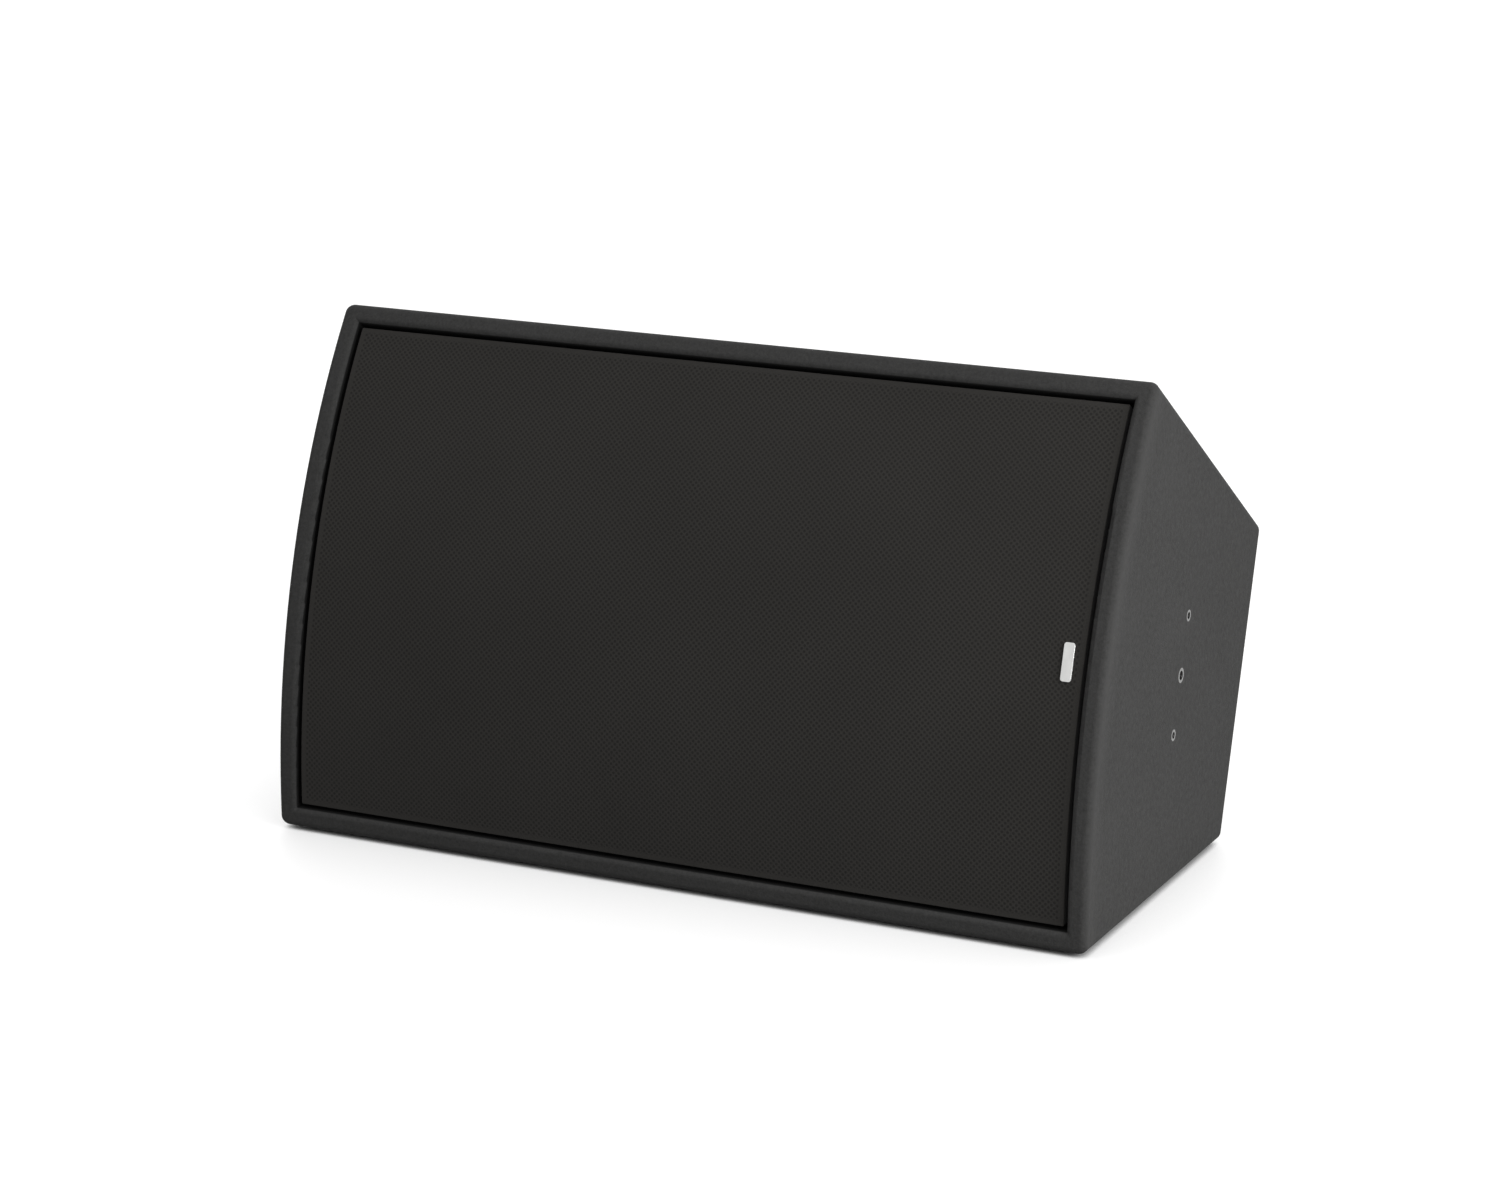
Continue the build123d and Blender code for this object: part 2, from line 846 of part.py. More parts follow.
with BuildPart() as woofer_basket:
    revolve(
        outline(
            woofer_view,
            (flange_radius, gasket_thickness),
            (flange_radius, flange_top),
            (ledge_radius, flange_top),
            (ledge_radius, ledge_height),
            (ledge_inner_radius, ledge_height),
            (ledge_inner_radius, 0),
            (spider_seat_radius, -spider_seat_depth),
            (spider_seat_radius - spider_ledge_width, -spider_seat_depth),
            (spider_seat_radius - spider_ledge_width, -spider_seat_depth - basket_wall),
            (top_plate_radius - basket_wall, -basket_floor_depth),
            (winding_radius + coil_room, -basket_floor_depth),
            (winding_radius + coil_room, floor_bottom),
            (top_plate_radius, floor_bottom),
            (top_plate_radius + basket_bevel / 2, floor_bottom + basket_bevel),
            (spider_seat_radius - basket_bevel, -spider_seat_depth - basket_wall - basket_bevel),
            (spider_seat_radius + basket_wall, -spider_seat_depth - basket_wall / 2),
            (ledge_radius, -gasket_thickness),
            (woofer_cutout_radius - basket_bevel / 2, gasket_thickness),
        ),
        axis=woofer_axis,
    )
    # Windows between the spokes
    with BuildSketch(woofer_face):
        Circle(ledge_inner_radius - window_margin)
        Circle(spider_seat_radius + window_margin, mode=Mode.SUBTRACT)
        with PolarLocations(0, woofer_bolt_count):
            Rectangle(2 * flange_radius, spoke_width, mode=Mode.SUBTRACT)
    extrude(amount=-spider_seat_depth - basket_wall, mode=Mode.SUBTRACT)
    extrude(
        discs(woofer_face, through_hole_radius, *woofer_bolts),
        amount=flange_top,
        mode=Mode.SUBTRACT,
    )

woofer_screws = panhead(
    facing_front(woofer_along, 0, baffle_recess - flange_top),
    screw_head_radius,
    screw_head_height,
    screw_radius,
    screw_length,
    woofer_bolts,
)

# Motor
top_plate_bottom = floor_bottom - top_plate_thickness
magnet_ring_bottom = top_plate_bottom - magnet_ring_height
back_plate_bottom = magnet_ring_bottom - back_plate_thickness
with BuildPart() as woofer_top_plate:
    revolve(
        outline(
            woofer_view,
            (coil_gap_outer_radius, top_plate_bottom),
            (top_plate_radius, top_plate_bottom),
            (top_plate_radius, floor_bottom),
            (coil_gap_outer_radius, floor_bottom),
        ),
        axis=woofer_axis,
    )

with BuildPart() as woofer_magnet:
    revolve(
        outline(
            woofer_view,
            (magnet_ring_bore_radius, magnet_ring_bottom),
            (magnet_ring_radius, magnet_ring_bottom),
            (magnet_ring_radius, top_plate_bottom),
            (magnet_ring_bore_radius, top_plate_bottom),
        ),
        axis=woofer_axis,
    )

with BuildPart() as woofer_pole_plate:
    revolve(
        outline(
            woofer_view,
            (pole_vent_radius, back_plate_bottom),
            (top_plate_radius, back_plate_bottom),
            (top_plate_radius, magnet_ring_bottom),
            (pole_radius, magnet_ring_bottom),
            (pole_radius, floor_bottom),
            (pole_vent_radius, floor_bottom),
        ),
        axis=woofer_axis,
    )

# Moving parts
gap_middle = (floor_bottom + top_plate_bottom) / 2
winding_top = gap_middle + winding_length / 2
with BuildPart() as voice_coil_former:
    revolve(
        outline(
            woofer_view,
            (former_radius, -former_bottom_depth),
            (former_outer_radius, -former_bottom_depth),
            (former_outer_radius, -former_top_depth),
            (former_radius, -former_top_depth),
        ),
        axis=woofer_axis,
    )

with BuildPart() as voice_coil_winding:
    revolve(
        outline(
            woofer_view,
            (former_outer_radius, winding_top - winding_length),
            (winding_radius, winding_top - winding_length),
            (winding_radius, winding_top),
            (former_outer_radius, winding_top),
        ),
        axis=woofer_axis,
    )

rim_inner_radius = cone_rim_radius - cone_rim_width
cone_neck = Vector(former_outer_radius, -former_top_depth)
cone_edge = Vector(rim_inner_radius, ledge_height)
cone_slope = (cone_edge - cone_neck).normalized()
cone_middle = (cone_neck + cone_edge) * 0.5 + Vector(-cone_slope.Y, cone_slope.X) * cone_curve
cone_drop = Vector(0, -cone_thickness)


def cone_front_and(*rest):
    """Face under the cone's front surface, closed through the rest of its points."""
    with BuildSketch(woofer_view) as drawing:
        with BuildLine():
            ThreePointArc(cone_neck, cone_middle, cone_edge)
            Polyline(cone_edge, (cone_rim_radius, ledge_height), *rest, cone_neck)
        make_face()
    return drawing.sketch


with BuildPart() as cone_backing:
    revolve(
        cone_front_and(
            (cone_rim_radius, -basket_floor_depth),
            (0, -basket_floor_depth),
            (0, -former_top_depth),
        ),
        axis=woofer_axis,
    )

with BuildPart() as woofer_cone:
    with BuildSketch(woofer_view):
        with BuildLine():
            ThreePointArc(cone_neck, cone_middle, cone_edge)
            Polyline(
                cone_edge,
                (cone_rim_radius, ledge_height),
                (cone_rim_radius, ledge_height - cone_thickness),
                cone_edge + cone_drop,
            )
            ThreePointArc(cone_edge + cone_drop, cone_middle + cone_drop, cone_neck + cone_drop)
            Line(cone_neck + cone_drop, cone_neck)
        make_face()
    revolve(axis=woofer_axis)

# The dust cap is a shallow dome whose rim is trimmed to the cone.
dome_radius = (dust_cap_radius**2 + dust_cap_rise**2) / (2 * dust_cap_rise)
dome_crown = dust_cap_stand + dust_cap_rise - former_top_depth
dome_edge = dust_cap_radius + dust_cap_stand
with BuildPart() as dust_cap:
    with BuildSketch(woofer_view):
        with Locations((0, dome_crown - dome_radius)):
            Circle(dome_radius)
            Circle(dome_radius - dust_cap_wall, mode=Mode.SUBTRACT)
        with Locations((dome_edge / 2, dome_crown - former_top_depth / 2)):
            Rectangle(dome_edge, former_top_depth, mode=Mode.INTERSECT)
    revolve(axis=woofer_axis)
    add(cone_backing.part, mode=Mode.SUBTRACT)

# Suspension: surround and spider, drawn along their middle lines
surround_height = ledge_height + surround_thickness / 2
roll_start = (cone_rim_radius + ledge_inner_radius - surround_roll_width) / 2
roll_end = roll_start + surround_roll_width
with BuildPart() as woofer_surround:
    with BuildSketch(woofer_view):
        with BuildLine():
            Line((cone_rim_radius - surround_overlap, surround_height), (roll_start, surround_height))
            ThreePointArc(
                (roll_start, surround_height),
                ((roll_start + roll_end) / 2, surround_height + surround_roll_width / 2),
                (roll_end, surround_height),
            )
            Line((roll_end, surround_height), (ledge_radius - soft_clearance, surround_height))
        trace(line_width=surround_thickness)
    revolve(axis=woofer_axis)

spider_height = spider_thickness / 2 - spider_seat_depth
spider_collar = former_outer_radius + spider_collar_width
wave_end = spider_seat_radius - spider_ledge_width - spider_flat
wave_half = (wave_end - spider_collar) / (2 * spider_waves)
with BuildPart() as woofer_spider:
    with BuildSketch(woofer_view):
        with BuildLine():
            Line((former_outer_radius, spider_height), (spider_collar, spider_height))
            for i in range(2 * spider_waves):
                start = spider_collar + i * wave_half
                lift = spider_wave if i % 2 == 0 else -spider_wave
                ThreePointArc(
                    (start, spider_height),
                    (start + wave_half / 2, spider_height + lift),
                    (start + wave_half, spider_height),
                )
            Line(
                (wave_end, spider_height),
                (spider_seat_radius - soft_clearance, spider_height),
            )
        trace(line_width=spider_thickness)
    revolve(axis=woofer_axis)

# Terminal block on the rear of the basket, on the side towards the crossover
block_start = spider_seat_radius - woofer_block_hold
block_top_depth = baffle_recess + spider_seat_depth + woofer_block_drop
with BuildPart() as woofer_terminals:
    extrude(
        outline(
            facing_front(woofer_along, 0, block_top_depth),
            (block_start, -woofer_block_width / 2),
            (block_start + woofer_block_reach, -woofer_block_width / 2),
            (block_start + woofer_block_reach, woofer_block_width / 2),
            (block_start, woofer_block_width / 2),
        ),
        amount=-woofer_block_height,
    )
    add(woofer_basket.part, mode=Mode.SUBTRACT)

# ---------------------------------------------------------------- horn

horn_front = horn_gasket_thickness + horn_flange_thickness
throat_front = throat_flange_thickness - horn_length

with BuildPart() as horn_gasket:
    extrude(
        rounded(horn_face, horn_flange_width, horn_flange_height, horn_flange_round),
        amount=horn_gasket_thickness,
    )
    extrude(
        rounded(horn_face, horn_cutout_width, horn_cutout_height, horn_flange_round),
        amount=horn_gasket_thickness,
        mode=Mode.SUBTRACT,
    )
    extrude(
        discs(horn_face, through_hole_radius, *horn_screws_at),
        amount=horn_gasket_thickness,
        mode=Mode.SUBTRACT,
    )


def horn_flare_solid(wall):
    """Flare from the round throat to the mouth, with a wall added all round."""
    with BuildPart() as flare:
        for i in range(horn_stations):
            share = i / (horn_stations - 1)
            spread = share**horn_flare
            with BuildSketch(horn_face.offset(throat_front + share * (horn_front - throat_front))):
                RectangleRounded(
                    2 * throat_radius + spread * (horn_mouth_width - 2 * throat_radius) + 2 * wall,
                    2 * throat_radius + spread * (horn_mouth_height - 2 * throat_radius) + 2 * wall,
                    throat_corner + spread * (horn_mouth_round - throat_corner) + wall,
                )
        loft()
    return flare.part


driver_bolts_at = circle_points(4, driver_bolt_circle_radius, 45)
with BuildPart() as horn:
    add(horn_flare_solid(horn_wall))
    extrude(
        rounded(
            horn_face.offset(horn_gasket_thickness),
            horn_flange_width,
            horn_flange_height,
            horn_flange_round,
        ),
        amount=horn_flange_thickness,
    )
    extrude(
        discs(horn_face.offset(throat_front), throat_flange_radius, (0, 0)),
        amount=-throat_flange_thickness,
    )
    add(horn_flare_solid(0), mode=Mode.SUBTRACT)
    extrude(
        discs(horn_face.offset(throat_front), throat_radius, (0, 0)),
        amount=-throat_flange_thickness,
        mode=Mode.SUBTRACT,
    )
    extrude(
        discs(horn_face, through_hole_radius, *horn_screws_at),
        amount=horn_front,
        mode=Mode.SUBTRACT,
    )
    extrude(
        discs(horn_face.offset(throat_front), driver_bolt_radius, *driver_bolts_at),
        amount=-throat_flange_thickness,
        mode=Mode.SUBTRACT,
    )

horn_screws = panhead(
    horn_face.offset(horn_front),
    screw_head_radius,
    screw_head_height,
    screw_radius,
    screw_length - gasket_thickness,
    horn_screws_at,
)

# ---------------------------------------------------------------- compression driver
# It hangs on the horn's throat. Its diaphragm faces the front through the pole's bore.

driver_view = half_view(horn_along, 0, baffle_recess + horn_length)
driver_face = facing_front(horn_along, 0, baffle_recess + horn_length)
driver_axis = spin_axis(driver_view)
driver_magnet_bottom = -driver_plate_thickness - driver_magnet_height
driver_top_bottom = driver_magnet_bottom - driver_plate_thickness

with BuildPart() as driver_pole:
    revolve(
        outline(
            driver_view,
            (throat_radius, 0),
            (driver_plate_radius, 0),
            (driver_plate_radius, -driver_plate_thickness),
            (driver_pole_radius, -driver_plate_thickness),
            (driver_pole_radius, driver_top_bottom),
            (throat_radius + driver_pole_flare, driver_top_bottom),
        ),
        axis=driver_axis,
    )
    extrude(
        discs(driver_face, driver_bolt_radius, *driver_bolts_at),
        amount=-driver_plate_thickness,
        mode=Mode.SUBTRACT,
    )

driver_bolts = panhead(
    horn_face.offset(throat_front),
    driver_bolt_head_radius,
    driver_bolt_head_height,
    driver_bolt_radius - paint_clearance,
    driver_bolt_length,
    driver_bolts_at,
)

with BuildPart() as driver_magnet:
    revolve(
        outline(
            driver_view,
            (driver_magnet_bore_radius, -driver_plate_thickness),
            (driver_magnet_radius, -driver_plate_thickness),
            (driver_magnet_radius, driver_magnet_bottom),
            (driver_magnet_bore_radius, driver_magnet_bottom),
        ),
        axis=driver_axis,
    )

cover_inner_radius = cover_radius - cover_rim_width
cover_top = driver_top_bottom - cover_height
cover_screw_circle = cover_radius - cover_rim_width / 2
cover_screws_at = circle_points(4, cover_screw_circle, 45)
with BuildPart() as driver_top_plate:
    revolve(
        outline(
            driver_view,
            (driver_gap_outer_radius, driver_magnet_bottom),
            (driver_plate_radius, driver_magnet_bottom),
            (driver_plate_radius, driver_top_bottom),
            (driver_gap_outer_radius, driver_top_bottom),
        ),
        axis=driver_axis,
    )
    extrude(
        discs(
            driver_face.offset(driver_top_bottom),
            cover_screw_radius + paint_clearance,
            *cover_screws_at,
        ),
        amount=driver_plate_thickness,
        mode=Mode.SUBTRACT,
    )

# The diaphragm moves: a dome and its voice coil. Its suspension is a ring with a thin web.
coil_outer_radius = diaphragm_coil_radius + diaphragm_coil_wall
web_top = driver_top_bottom - suspension_rim_thickness + diaphragm_wall
web_bottom = driver_top_bottom - suspension_rim_thickness
driver_dome_radius = (coil_outer_radius**2 + diaphragm_rise**2) / (2 * diaphragm_rise)
with BuildPart() as driver_diaphragm:
    with BuildSketch(driver_view):
        with Locations((0, web_bottom - diaphragm_rise + driver_dome_radius)):
            Circle(driver_dome_radius)
            Circle(driver_dome_radius - diaphragm_wall, mode=Mode.SUBTRACT)
        with Locations((coil_outer_radius / 2, web_top - diaphragm_rise)):
            Rectangle(coil_outer_radius, 2 * diaphragm_rise, mode=Mode.INTERSECT)
        with Locations((coil_outer_radius - diaphragm_coil_wall / 2, driver_top_bottom)):
            Rectangle(diaphragm_coil_wall, 2 * suspension_rim_thickness)
    revolve(axis=driver_axis)

with BuildPart() as driver_suspension:
    revolve(
        outline(
            driver_view,
            (coil_outer_radius, web_top),
            (suspension_inner_rim, web_top),
            (suspension_inner_rim, driver_top_bottom),
            (cover_inner_radius - paint_clearance, driver_top_bottom),
            (cover_inner_radius - paint_clearance, web_bottom),
            (coil_outer_radius, web_bottom),
        ),
        axis=driver_axis,
    )

with BuildPart() as driver_cover:
    revolve(
        outline(
            driver_view,
            (cover_inner_radius, driver_top_bottom),
            (cover_radius, driver_top_bottom),
            (cover_radius, cover_top + cover_bevel),
            (cover_radius - cover_bevel, cover_top),
            (0, cover_top),
            (0, cover_top + cover_wall),
            (cover_inner_radius, cover_top + cover_wall),
        ),
        axis=driver_axis,
    )
    extrude(
        discs(
            driver_face.offset(cover_top),
            cover_screw_radius + paint_clearance,
            *cover_screws_at,
        ),
        amount=cover_height,
        mode=Mode.SUBTRACT,
    )

driver_back = Plane(
    origin=driver_face.offset(cover_top).origin,
    x_dir=chord.x_dir * -1,
    z_dir=chord.z_dir * -1,
)
driver_cover_screws = panhead(
    driver_back,
    cover_screw_head_radius,
    cover_screw_head_height,
    cover_screw_radius,
    cover_screw_length,
    cover_screws_at,
)
with BuildPart() as driver_terminals:
    with BuildSketch(driver_back):
        with Locations((0, driver_block_up)):
            Rectangle(driver_block_width, driver_block_height)
    extrude(amount=driver_block_depth)

# ---------------------------------------------------------------- port tubes

port_outer_radius = port_radius + port_wall
with BuildPart() as port_tubes:
    for along, up in port_places:
        view = half_view(along, up, baffle_recess)
        revolve(
            outline(
                view,
                (port_radius, -port_length),
                (port_outer_radius, -port_length),
                (port_outer_radius, 0),
                (port_flare_radius, 0),
                (port_flare_radius, port_flare_thickness - port_bevel),
                (port_flare_radius - port_bevel, port_flare_thickness),
                (port_outer_radius, port_flare_thickness),
                (port_radius, 0),
            ),
            axis=spin_axis(view),
        )

# ---------------------------------------------------------------- connector plate

plate_base = facing_rear(plate_along, 0, plate_gasket_thickness)
plate_top = facing_rear(plate_along, 0, plate_gasket_thickness + plate_thickness)
with BuildPart() as plate_gasket:
    plate_foot = facing_rear(plate_along, 0, 0)
    extrude(
        rounded(plate_foot, plate_width, plate_height, plate_round),
        amount=plate_gasket_thickness,
    )
    extrude(
        rounded(plate_foot, plate_cutout_width, plate_cutout_height, plate_round),
        amount=plate_gasket_thickness,
        mode=Mode.SUBTRACT,
    )
    extrude(
        discs(plate_foot, plate_screw_radius + joint_clearance, *plate_screw_places),
        amount=plate_gasket_thickness,
        mode=Mode.SUBTRACT,
    )

sockets_at = [(-socket_spacing / 2, 0), (socket_spacing / 2, 0)]
socket_screws_at = [
    (x + way * socket_screw_along, way * socket_screw_up)
    for x, y in sockets_at
    for way in (-1, 1)
]
with BuildPart() as connector_plate:
    extrude(
        rounded(plate_base, plate_width, plate_height, plate_round),
        amount=plate_thickness,
    )
    plate_holes = [
        discs(plate_base, socket_barrel_radius + joint_clearance, *sockets_at),
        discs(plate_base, socket_screw_radius + joint_clearance, *socket_screws_at),
        discs(plate_base, plate_screw_radius + joint_clearance, *plate_screw_places),
    ]
    for plate_hole in plate_holes:
        extrude(plate_hole, amount=plate_thickness, mode=Mode.SUBTRACT)

plate_screws = panhead(
    plate_top,
    plate_screw_head_radius,
    plate_screw_head_height,
    plate_screw_radius,
    plate_screw_length,
    plate_screw_places,
)

socket_front = plate_top.offset(socket_flange_thickness)
socket_back = socket_front.offset(-socket_depth - socket_floor)
tab_circle = (socket_barrel_radius + socket_core_radius) / 2
with BuildPart() as speaker_sockets:
    with BuildSketch(plate_top):
        with Locations(*sockets_at):
            RectangleRounded(socket_flange_width, socket_flange_height, socket_flange_round)
    extrude(amount=socket_flange_thickness)
    extrude(
        discs(socket_back, socket_barrel_radius, *sockets_at),
        amount=socket_depth + socket_floor,
    )
    with BuildSketch(socket_back.offset(socket_floor)):
        with Locations(*sockets_at):
            Circle(socket_well_radius - socket_well_step)
            Circle(socket_core_radius, mode=Mode.SUBTRACT)
    extrude(amount=socket_depth, mode=Mode.SUBTRACT)
    extrude(
        discs(socket_front, socket_well_radius, *sockets_at),
        amount=-socket_entry_depth,
        mode=Mode.SUBTRACT,
    )
    extrude(
        discs(socket_front, socket_core_radius, *sockets_at),
        amount=-socket_core_recess,
        mode=Mode.SUBTRACT,
    )
    extrude(
        discs(plate_top, socket_screw_radius + joint_clearance, *socket_screws_at),
        amount=socket_flange_thickness,
        mode=Mode.SUBTRACT,
    )
    with BuildSketch(socket_back):
        with Locations(*sockets_at):
            with PolarLocations(tab_circle, 4, 45):
                Rectangle(socket_tab_thickness, socket_tab_width)
    extrude(amount=-socket_tab_length)

socket_screws = panhead(
    socket_front,
    socket_screw_head_radius,
    socket_screw_head_height,
    socket_screw_radius,
    socket_screw_length,
    socket_screws_at,
)

link_face = socket_back.offset(-socket_tab_length)
with BuildPart() as socket_link_board:
    with BuildSketch(link_face):
        Rectangle(link_board_length, link_board_height)
    extrude(amount=-board_thickness)

# ---------------------------------------------------------------- crossover

board_base = board_floor.offset(standoff_height)
board_top = board_base.offset(board_thickness)
with BuildPart() as standoffs:
    with BuildSketch(board_floor):
        with Locations(*board_holes):
            Circle(standoff_radius)
            Circle(board_screw_radius + paint_clearance, mode=Mode.SUBTRACT)
    extrude(amount=standoff_height)

with BuildPart() as crossover_board:
    with BuildSketch(board_base):
        Rectangle(board_length, board_width)
        with Locations(*board_holes):
            Circle(board_screw_radius + joint_clearance, mode=Mode.SUBTRACT)
    extrude(amount=board_thickness)

board_screws = panhead(
    board_top,
    board_screw_head_radius,
    board_screw_head_height,
    board_screw_radius,
    board_screw_length,
    board_holes,
)

# Coils and capacitors are placed from the terminal strip, resistors from the board's other end
strip_along = strip_width - board_length / 2
strip_edge = strip_along + strip_width / 2
with BuildPart() as crossover_coils:
    for (outer, inner, height), (x, y) in zip(coil_sizes, coil_places):
        with BuildSketch(board_top):
            with Locations((strip_edge + x, y)):
                Circle(outer)
                Circle(inner, mode=Mode.SUBTRACT)
        extrude(amount=height)

# Capacitors lie along the board, each held by a bead of glue under it
with BuildPart() as crossover_capacitors:
    for (radius, length), (x, y) in zip(capacitor_sizes, capacitor_places):
        start = board_top.from_local_coords((strip_edge + x - length / 2, y, radius))
        with BuildSketch(Plane(origin=start, x_dir=(0, 1, 0), z_dir=(1, 0, 0))):
            Circle(radius)
        extrude(amount=length)

with BuildPart() as crossover_resistors:
    with BuildSketch(board_top):
        with Locations(*[(board_length / 2 - x, y) for x, y in resistor_places]):
            Rectangle(resistor_size[0], resistor_size[1])
    extrude(amount=resistor_size[2])

with BuildPart() as crossover_terminals:
    with BuildSketch(board_top):
        with Locations((strip_along, 0)):
            Rectangle(strip_width, strip_length)
    extrude(amount=strip_height)

# ---------------------------------------------------------------- leads


def place(along, up, depth):
    """Point given from the middle of the chord."""
    return chord.from_local_coords((along, up, -depth))


def lead(*points):
    """Round cable through the points, with bends as large as its runs allow."""
    spots = [Vector(point) for point in points]
    runs = [after - before for before, after in zip(spots, spots[1:])]
    bends = []
    for before, after in zip(runs, runs[1:]):
        turn = radians(before.get_angle(after))
        bends.append(lead_bend_share * min(before.length, after.length) / tan(turn / 2))
    with BuildPart() as cable:
        with BuildLine() as path:
            FilletPolyline(*spots, radius=bends)
        with BuildSketch(Plane(origin=path.line @ 0, z_dir=path.line % 0)):
            Circle(lead_radius)
        sweep()
    print("lead bends", [round(bend) for bend in bends])
    return cable


# Each lead leaves and enters a terminal square to its face.
strip_left = board_top.from_local_coords((strip_along - strip_width / 2, 0, strip_height / 2))
strip_top = board_top.from_local_coords((strip_along, strip_length / 4, strip_height))
input_entry = strip_left + (0, strip_length / 4, 0)
link_depth = -chord.to_local_coords(link_face.origin).Z - board_thickness
woofer_exit = place(
    woofer_along + block_start + woofer_block_reach, 0, block_top_depth + woofer_block_height / 2
)
driver_entry_up = driver_block_up - driver_block_height / 2
driver_entry_depth = baffle_recess + horn_length - cover_top + driver_block_depth / 2

woofer_lead = lead(
    woofer_exit,
    woofer_exit + (22, 0, 0),
    (12, -28, 150),
    (36, -10, 122),
    (54, 3, 90),
    (50, 9, 66),
    strip_left - (30, 0, 0),
    strip_left,
)
input_lead = lead(
    place(plate_along, 0, link_depth),
    place(plate_along, 0, link_depth - 24),
    (-66, 62, 132),
    (-34, 44, 122),
    (2, 34, 104),
    (36, 28, 84),
    (58, 27, 58),
    input_entry - (26, 0, 0),
    input_entry,
)
driver_lead = lead(
    strip_top,
    strip_top + (0, 0, 22),
    (112, 32, 78),
    (136, 40, 87),
    (160, 42, 84),
    place(horn_along, driver_entry_up - 22, driver_entry_depth),
    place(horn_along, driver_entry_up, driver_entry_depth),
)
with BuildPart() as internal_leads:
    add(woofer_lead.part)
    add(input_lead.part)
    add(driver_lead.part)

# ---------------------------------------------------------------- acoustic foam
# Slabs under the top panel and on the rear panel, in the bays on both sides of the brace
rear_foam_front = inside_rear - soft_clearance - foam_thickness
top_foam_rear = rear_foam_front - soft_clearance
rear_foam_up = inner_up(rear_foam_front) - foam_margin
plate_left = plate_along - plate_cutout_width / 2 - rear_foam_from_plate
foam_bays = [
    (-half_inside + soft_clearance, brace_left - soft_clearance),
    (brace_right + soft_clearance, half_inside - soft_clearance),
]
rear_foam_bays = [
    (-half_inside + soft_clearance, plate_left),
    (brace_right + soft_clearance, half_inside - soft_clearance),
]
with BuildPart() as acoustic_foam:
    for start, end in foam_bays:
        near = soft_clearance
        far = foam_thickness + soft_clearance
        extrude(
            outline(
                side.offset(start),
                (top_foam_from, inner_up(top_foam_from, near)),
                (top_foam_rear, inner_up(top_foam_rear, near)),
                (top_foam_rear, inner_up(top_foam_rear, far)),
                (top_foam_from, inner_up(top_foam_from, far)),
            ),
            amount=end - start,
        )
    for start, end in rear_foam_bays:
        extrude(
            outline(
                side.offset(start),
                (rear_foam_front, rear_foam_up),
                (inside_rear - soft_clearance, rear_foam_up),
                (inside_rear - soft_clearance, -rear_foam_up),
                (rear_foam_front, -rear_foam_up),
            ),
            amount=end - start,
        )

# ---------------------------------------------------------------- feet

bottom_length = cabinet_depth / cos(taper)
with BuildPart() as rubber_feet:
    with BuildSketch(Plane.XY):
        with Locations(
            (half_length - foot_inset, front_corner_y + foot_inset),
            (foot_inset - half_length, front_corner_y + foot_inset),
            (half_length - foot_inset, front_corner_y + bottom_length - foot_inset),
            (foot_inset - half_length, front_corner_y + bottom_length - foot_inset),
        ):
            Circle(foot_radius)
    extrude(amount=foot_height)

# ---------------------------------------------------------------- files

pieces = {
    "left_end_panel": left_end_panel,
    "right_end_panel": right_end_panel,
    "top_panel": top_panel,
    "bottom_panel": bottom_panel,
    "rear_panel": rear_panel,
    "baffle": baffle,
    "battens": battens,
    "window_brace": window_brace,
    "insert_blocks": insert_blocks,
    "m8_inserts": m8_inserts,
    "m6_inserts": m6_inserts,
    "rubber_feet": rubber_feet,
    "grille_steel": grille_steel,
    "grille_cloth": grille_cloth,
    "grille_seal": grille_seal,
    "grille_magnets": grille_magnets,
    "magnet_screws": magnet_screws,
    "badge_plate": badge_plate,
    "woofer_gasket": woofer_gasket,
    "woofer_basket": woofer_basket,
    "woofer_screws": woofer_screws,
    "woofer_top_plate": woofer_top_plate,
    "woofer_magnet": woofer_magnet,
    "woofer_pole_plate": woofer_pole_plate,
    "voice_coil_former": voice_coil_former,
    "voice_coil_winding": voice_coil_winding,
    "woofer_cone": woofer_cone,
    "dust_cap": dust_cap,
    "woofer_surround": woofer_surround,
    "woofer_spider": woofer_spider,
    "woofer_terminals": woofer_terminals,
    "horn": horn,
    "horn_gasket": horn_gasket,
    "horn_screws": horn_screws,
    "driver_pole": driver_pole,
    "driver_bolts": driver_bolts,
    "driver_magnet": driver_magnet,
    "driver_top_plate": driver_top_plate,
    "driver_diaphragm": driver_diaphragm,
    "driver_suspension": driver_suspension,
    "driver_cover": driver_cover,
    "driver_cover_screws": driver_cover_screws,
    "driver_terminals": driver_terminals,
    "port_tubes": port_tubes,
    "plate_gasket": plate_gasket,
    "connector_plate": connector_plate,
    "plate_screws": plate_screws,
    "speaker_sockets": speaker_sockets,
    "socket_screws": socket_screws,
    "socket_link_board": socket_link_board,
    "standoffs": standoffs,
    "crossover_board": crossover_board,
    "board_screws": board_screws,
    "crossover_coils": crossover_coils,
    "crossover_capacitors": crossover_capacitors,
    "crossover_resistors": crossover_resistors,
    "crossover_terminals": crossover_terminals,
    "internal_leads": internal_leads,
    "acoustic_foam": acoustic_foam,
}
os.makedirs("parts", exist_ok=True)
for name, piece in pieces.items():
    piece.part.label = name
    export_step(piece.part, f"parts/{name}.step")
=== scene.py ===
import math

